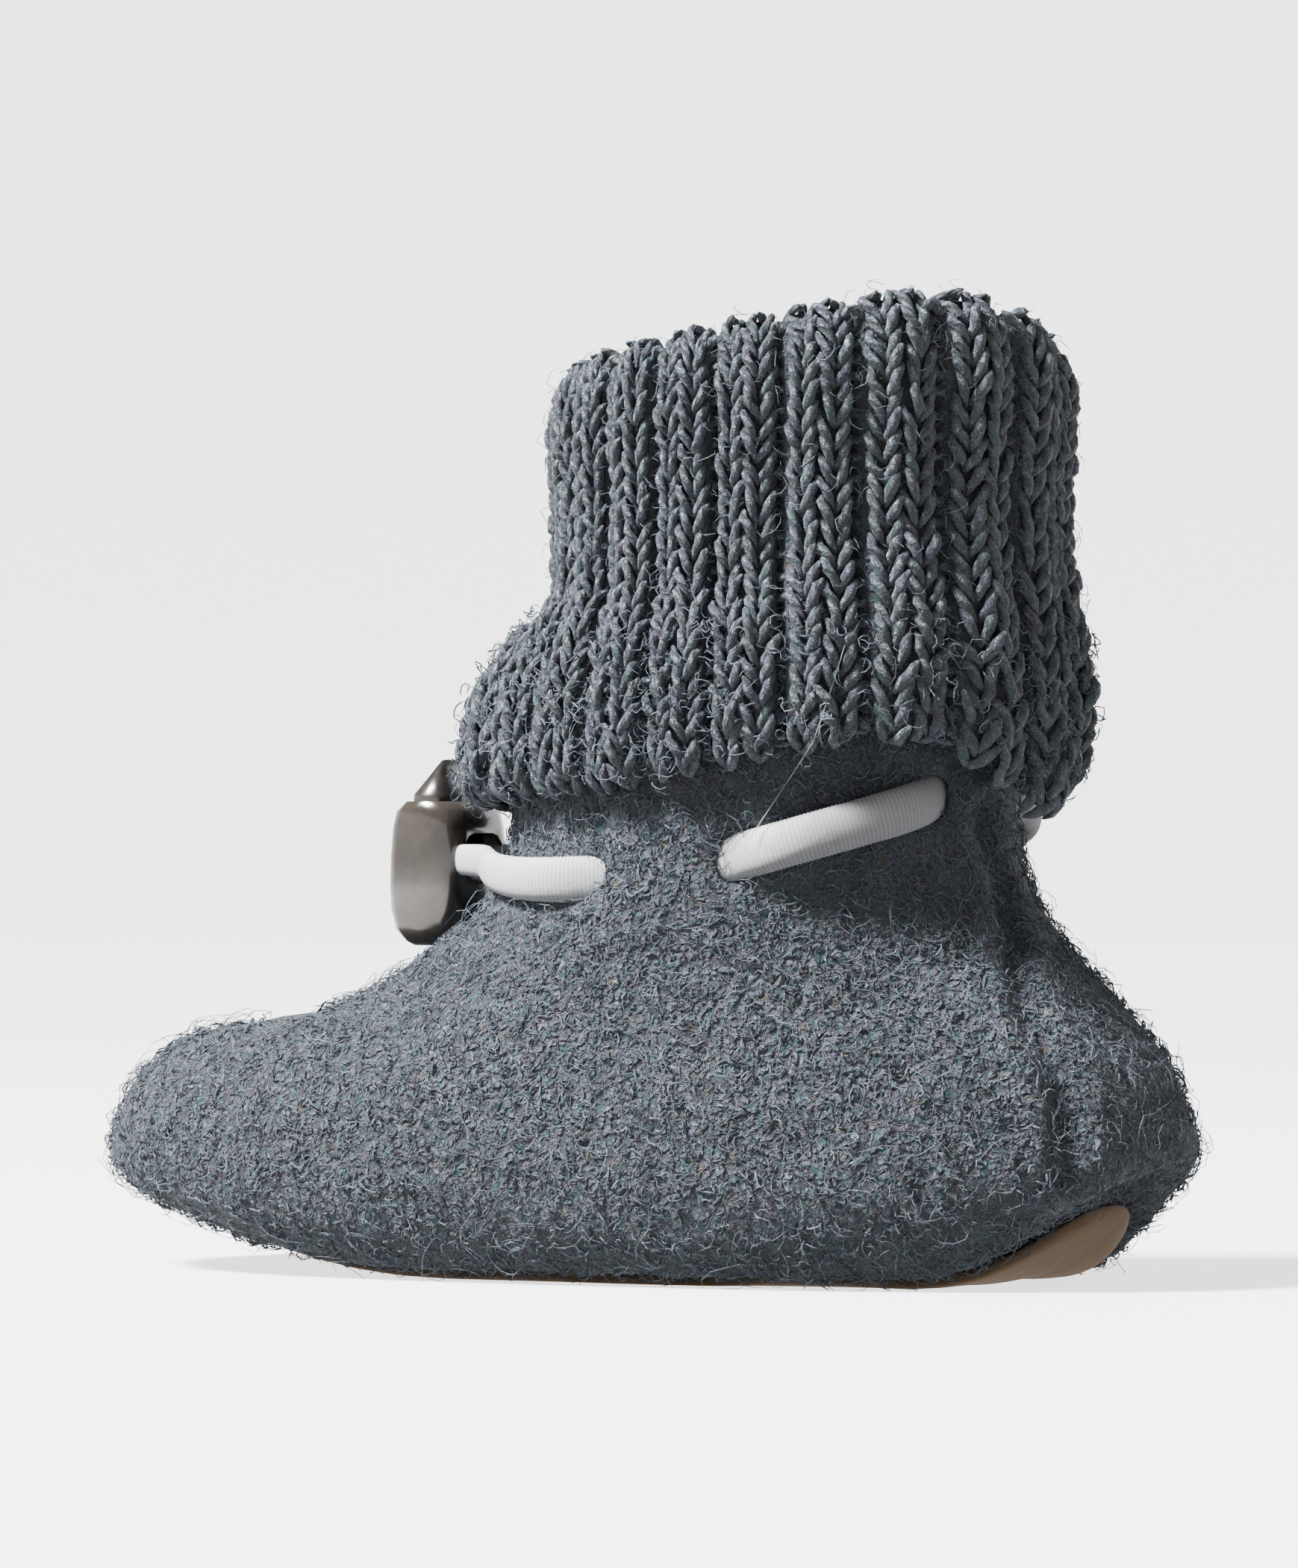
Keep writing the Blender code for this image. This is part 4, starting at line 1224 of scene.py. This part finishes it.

# %% [markdown]
# The elastic is swept along that path as a flat oval. Every second ring is a little fatter, which makes
# its fine ribs, and it is slimmer towards the toggle, where it is pulled tight. Darker bands across it at
# the ribs' pitch are painted shade, which makes the ribs show.

# %% Elastic cord
elastic_finish, tree, shader = new_finish("ribbed_elastic", Roughness=0.75)
coordinates = add(tree, "ShaderNodeUVMap", uv_map="UVMap").outputs[0]
# Painted shade: darker bands across the cord at the pitch of its ribs.
rib_shade_bands = add(tree, "ShaderNodeTexWave", {"Vector": coordinates, "Scale": math.pi / 10}, bands_direction="X")
speck = grain(tree, place_in(tree), 1500.0)
colour = mixed(tree, rib_shade_bands.outputs["Fac"], (0.54, 0.54, 0.56), (0.82, 0.82, 0.85))
colour = mixed(tree, 0.25, colour, ramp(tree, speck, ((0.3, (0.44, 0.44, 0.47)), (0.7, (0.78, 0.78, 0.81)))))
tree.links.new(colour, shader.inputs["Base Color"])
tree.links.new(bumped(tree, speck, 0.4, 0.1 * MM), shader.inputs["Normal"])
CORD_RIB = 0.42 * MM
CORD_SIDES = 20
CORD_THICK = 2.8 * MM
CORD_TALL = 4.8 * MM
CORD_SLIM = 0.66
CORD_PULLED_SHARE = 0.20


def smooth_route(points, spacing):
    """Evenly spaced points along a smooth curve through the given ones."""
    rows = np.array(points)
    for _ in range(2):
        rows[1:-1] = 0.25 * rows[:-2] + 0.5 * rows[1:-1] + 0.25 * rows[2:]
    along = np.concatenate(([0], np.cumsum(np.linalg.norm(np.diff(rows, axis=0), axis=1))))
    fine = np.linspace(0, along[-1], 600)
    dense = np.stack([np.interp(fine, along, rows[:, axis]) for axis in range(3)], axis=1)
    kernel = np.hanning(25)
    kernel /= kernel.sum()
    padded = np.vstack((np.repeat(dense[:1], 12, axis=0), dense, np.repeat(dense[-1:], 12, axis=0)))
    dense = np.stack([np.convolve(padded[:, axis], kernel, "valid") for axis in range(3)], axis=1)
    along = np.concatenate(([0], np.cumsum(np.linalg.norm(np.diff(dense, axis=0), axis=1))))
    wanted = np.linspace(0, along[-1], int(along[-1] / spacing))
    return [Vector([np.interp(w, along, dense[:, axis]) for axis in range(3)]) for w in wanted]


def elastic(points):
    made = bmesh.new()
    layer = made.loops.layers.uv.new("UVMap")
    rings = []
    last = len(points) - 1
    for index, point in enumerate(points):
        way = (points[min(index + 1, last)] - points[max(index - 1, 0)]).normalized()
        across = way.cross(up).normalized()
        raised = across.cross(way)
        end = min(1.0, min(index, last - index) / (CORD_PULLED_SHARE * last))
        slim = CORD_SLIM + 0.34 * end**1.5
        rib = 1.0 + 0.022 * math.cos(math.pi * index)
        ring = []
        for step in range(CORD_SIDES):
            turn = 2 * math.pi * step / CORD_SIDES
            side = math.copysign(abs(math.cos(turn)) ** 0.85, math.cos(turn))
            tall = math.copysign(abs(math.sin(turn)) ** 0.85, math.sin(turn))
            ring.append(
                made.verts.new(
                    point
                    + across * (CORD_THICK / 2 * slim * rib * side)
                    + raised * (CORD_TALL / 2 * slim * rib * tall)
                )
            )
        rings.append(ring)
    for index, (first, second) in enumerate(zip(rings, rings[1:])):
        for step in range(CORD_SIDES):
            after = (step + 1) % CORD_SIDES
            face = made.faces.new((first[step], second[step], second[after], first[after]))
            corners = ((index, step), (index + 1, step), (index + 1, step + 1), (index, step + 1))
            for loop, (u, v) in zip(face.loops, corners):
                loop[layer].uv = (u * 0.5, v / CORD_SIDES)
    made.faces.new(rings[0])
    made.faces.new(rings[-1])
    bmesh.ops.recalc_face_normals(made, faces=made.faces)
    return made


cord = object_from(elastic(smooth_route(route, CORD_RIB / 2)), "elastic_cord", elastic_finish)
cord.data.shade_smooth()
hang(cord, "slipper", "elastic", "drawcord")

# %% [markdown]
# One long pale hair lies on the shoe in the photograph. It runs down from the hem of the cuff, over the
# felt and across the cord. Rays through its pixels show how far off the shoe is at each place.

# %% Stray hair
HAIR_LIFT = 1.1 * MM
HAIR_PIXELS = ((812, 1273), (803, 1303), (794, 1330), (783, 1362), (764, 1391), (742, 1424), (719, 1459))
hair_trees = [
    BVHTree.FromPolygons([v.co for v in piece.data.vertices], [p.vertices for p in piece.data.polygons])
    for piece in (felt, ground, cord)
]
hair_rays, hair_depths = [], []
for (column, row), (next_column, next_row) in zip(HAIR_PIXELS, HAIR_PIXELS[1:]):
    for share in (0.0, 0.25, 0.5, 0.75):
        eye, way = photo_ray(column + (next_column - column) * share, row + (next_row - row) * share)
        hits = [surface.ray_cast(eye, way)[3] for surface in hair_trees]
        hair_rays.append(way)
        hair_depths.append(min(hit for hit in hits if hit is not None))
padded = np.pad(hair_depths, 3, mode="edge")
near = np.array([padded[index:index + 7].min() for index in range(len(hair_depths))])
near = np.convolve(np.pad(near, 2, mode="edge"), np.ones(5) / 5, "valid") - HAIR_LIFT
hair_line = [camera.location + way * depth for way, depth in zip(hair_rays, near)]
hair_finish, tree, shader = new_finish("pale_hair", Roughness=0.6)
pale = ramp(tree, grain(tree, place_in(tree), 900.0), ((0.3, (0.34, 0.34, 0.35)), (0.7, (0.62, 0.62, 0.62))))
tree.links.new(pale, shader.inputs["Base Color"])
hair = object_from(strand_mesh(hair_line, [0.05 * MM] * len(hair_line), 5), "stray_hair", hair_finish)
hair.data.shade_smooth()
hang(hair, "slipper", "felt")

# %% [markdown]
# The toggle is smoky see-through plastic: a bulging housing with a well, and a plunger whose head narrows
# to a ridge. The CAD solids already have the right forms, so merged copies of them are given finer
# roundings. The plastic is so dark that the spring inside the housing doesn't show, and it isn't drawn.
# The plunger takes a darker copy of the same plastic that lets no light through: painted shade.

# %% Smoke plastic
smoke_finish, tree, shader = new_finish(
    "smoke_plastic", Roughness=0.16, Transmission_Weight=0.25, IOR=1.45, Coat_Weight=0.15, Coat_Roughness=0.05
)
cloud_noise = grain(tree, place_in(tree), 260.0, 2.0)
tree.links.new(
    ramp(tree, cloud_noise, ((0.3, (0.040, 0.032, 0.026)), (0.7, (0.085, 0.070, 0.058)))),
    shader.inputs["Base Color"],
)
# Painted shade: the plunger's copy of the smoke plastic is darker and lets no light through.
plunger_shade_finish, tree, shader = new_finish(
    "smoke_plastic_dark", Roughness=0.24, Coat_Weight=0.15, Coat_Roughness=0.1
)
cloud_noise = grain(tree, place_in(tree), 300.0)
tree.links.new(
    ramp(tree, cloud_noise, ((0.3, (0.018, 0.015, 0.014)), (0.7, (0.040, 0.034, 0.030)))),
    shader.inputs["Base Color"],
)


def rounded_copy(node, name, finish, bevel):
    piece = object_from(cad_copy(node), name, finish)
    made = bmesh.new()
    made.from_mesh(piece.data)
    bmesh.ops.join_triangles(
        made, faces=made.faces, angle_face_threshold=0.05, angle_shape_threshold=3.1, cmp_seam=False
    )
    made.to_mesh(piece.data)
    made.free()
    soft = piece.modifiers.new("soft edges", "BEVEL")
    soft.width = bevel
    soft.segments = 2
    soft.limit_method = "ANGLE"
    soft.angle_limit = math.radians(50)
    settle(piece)
    piece.data.shade_smooth()
    return piece


body = rounded_copy("toggle_body", "toggle_housing", smoke_finish, 0.15 * MM)
hang(body, "slipper", "smoke_plastic", "toggle_body")
button = rounded_copy("toggle_button", "toggle_plunger", plunger_shade_finish, 0.15 * MM)
hang(button, "button", "smoke_plastic", "toggle_button")

# %% [markdown]
# The sole is thin ochre suede with a short nap and a few dark specks, and the insole is soft grey felt.
# Both keep the CAD's form. Their facets are joined to quads and subdivided, so that edges come out round.

# %% Sole and insole
suede_finish, tree, shader = new_finish("ochre_suede", Roughness=0.92)
place = place_in(tree)
broad = grain(tree, place, 90.0, 3.0)
fine = grain(tree, place, 1600.0, 4.0, 0.7)
SUEDE_STOPS = (
    (0.30, (0.080, 0.046, 0.020)),
    (0.55, (0.145, 0.086, 0.038)),
    (0.80, (0.215, 0.145, 0.080)),
)
nap_shade = ramp(tree, fine, ((0.3, (0.55, 0.5, 0.45)), (0.7, (1.0, 1.0, 1.0))))
colour = mixed(tree, 0.5, ramp(tree, broad, SUEDE_STOPS), nap_shade, "MULTIPLY")
spots = add(tree, "ShaderNodeTexVoronoi", {"Vector": place, "Scale": 230.0, "Randomness": 1.0})
dark = add(
    tree,
    "ShaderNodeMapRange",
    {"Value": spots.outputs["Distance"], "From Min": 0.10, "From Max": 0.17, "To Min": 1.0, "To Max": 0.0},
)
colour = mixed(tree, dark.outputs[0], colour, (0.05, 0.03, 0.018))
tree.links.new(colour, shader.inputs["Base Color"])
tree.links.new(bumped(tree, fine, 0.5, 0.15 * MM), shader.inputs["Normal"])


def rounded_pad(node, name, finish, levels=2):
    made = cad_copy(node)
    bmesh.ops.join_triangles(made, faces=made.faces, angle_face_threshold=0.6, angle_shape_threshold=3.1)
    piece = object_from(made, name, finish)
    finer = piece.modifiers.new("finer", "SUBSURF")
    finer.levels = finer.render_levels = levels
    settle(piece)
    piece.data.shade_smooth()
    return piece


hang(rounded_pad("sole", "suede_sole", suede_finish), "slipper", "suede", "sole")
hang(rounded_pad("insole", "sock_lining", lining_finish), "slipper", "insole_felt", "insole")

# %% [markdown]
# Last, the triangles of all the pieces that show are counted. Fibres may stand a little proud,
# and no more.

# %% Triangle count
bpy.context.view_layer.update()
print("triangles in all:", sum(triangles(piece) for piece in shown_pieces() if piece.type == "MESH"))
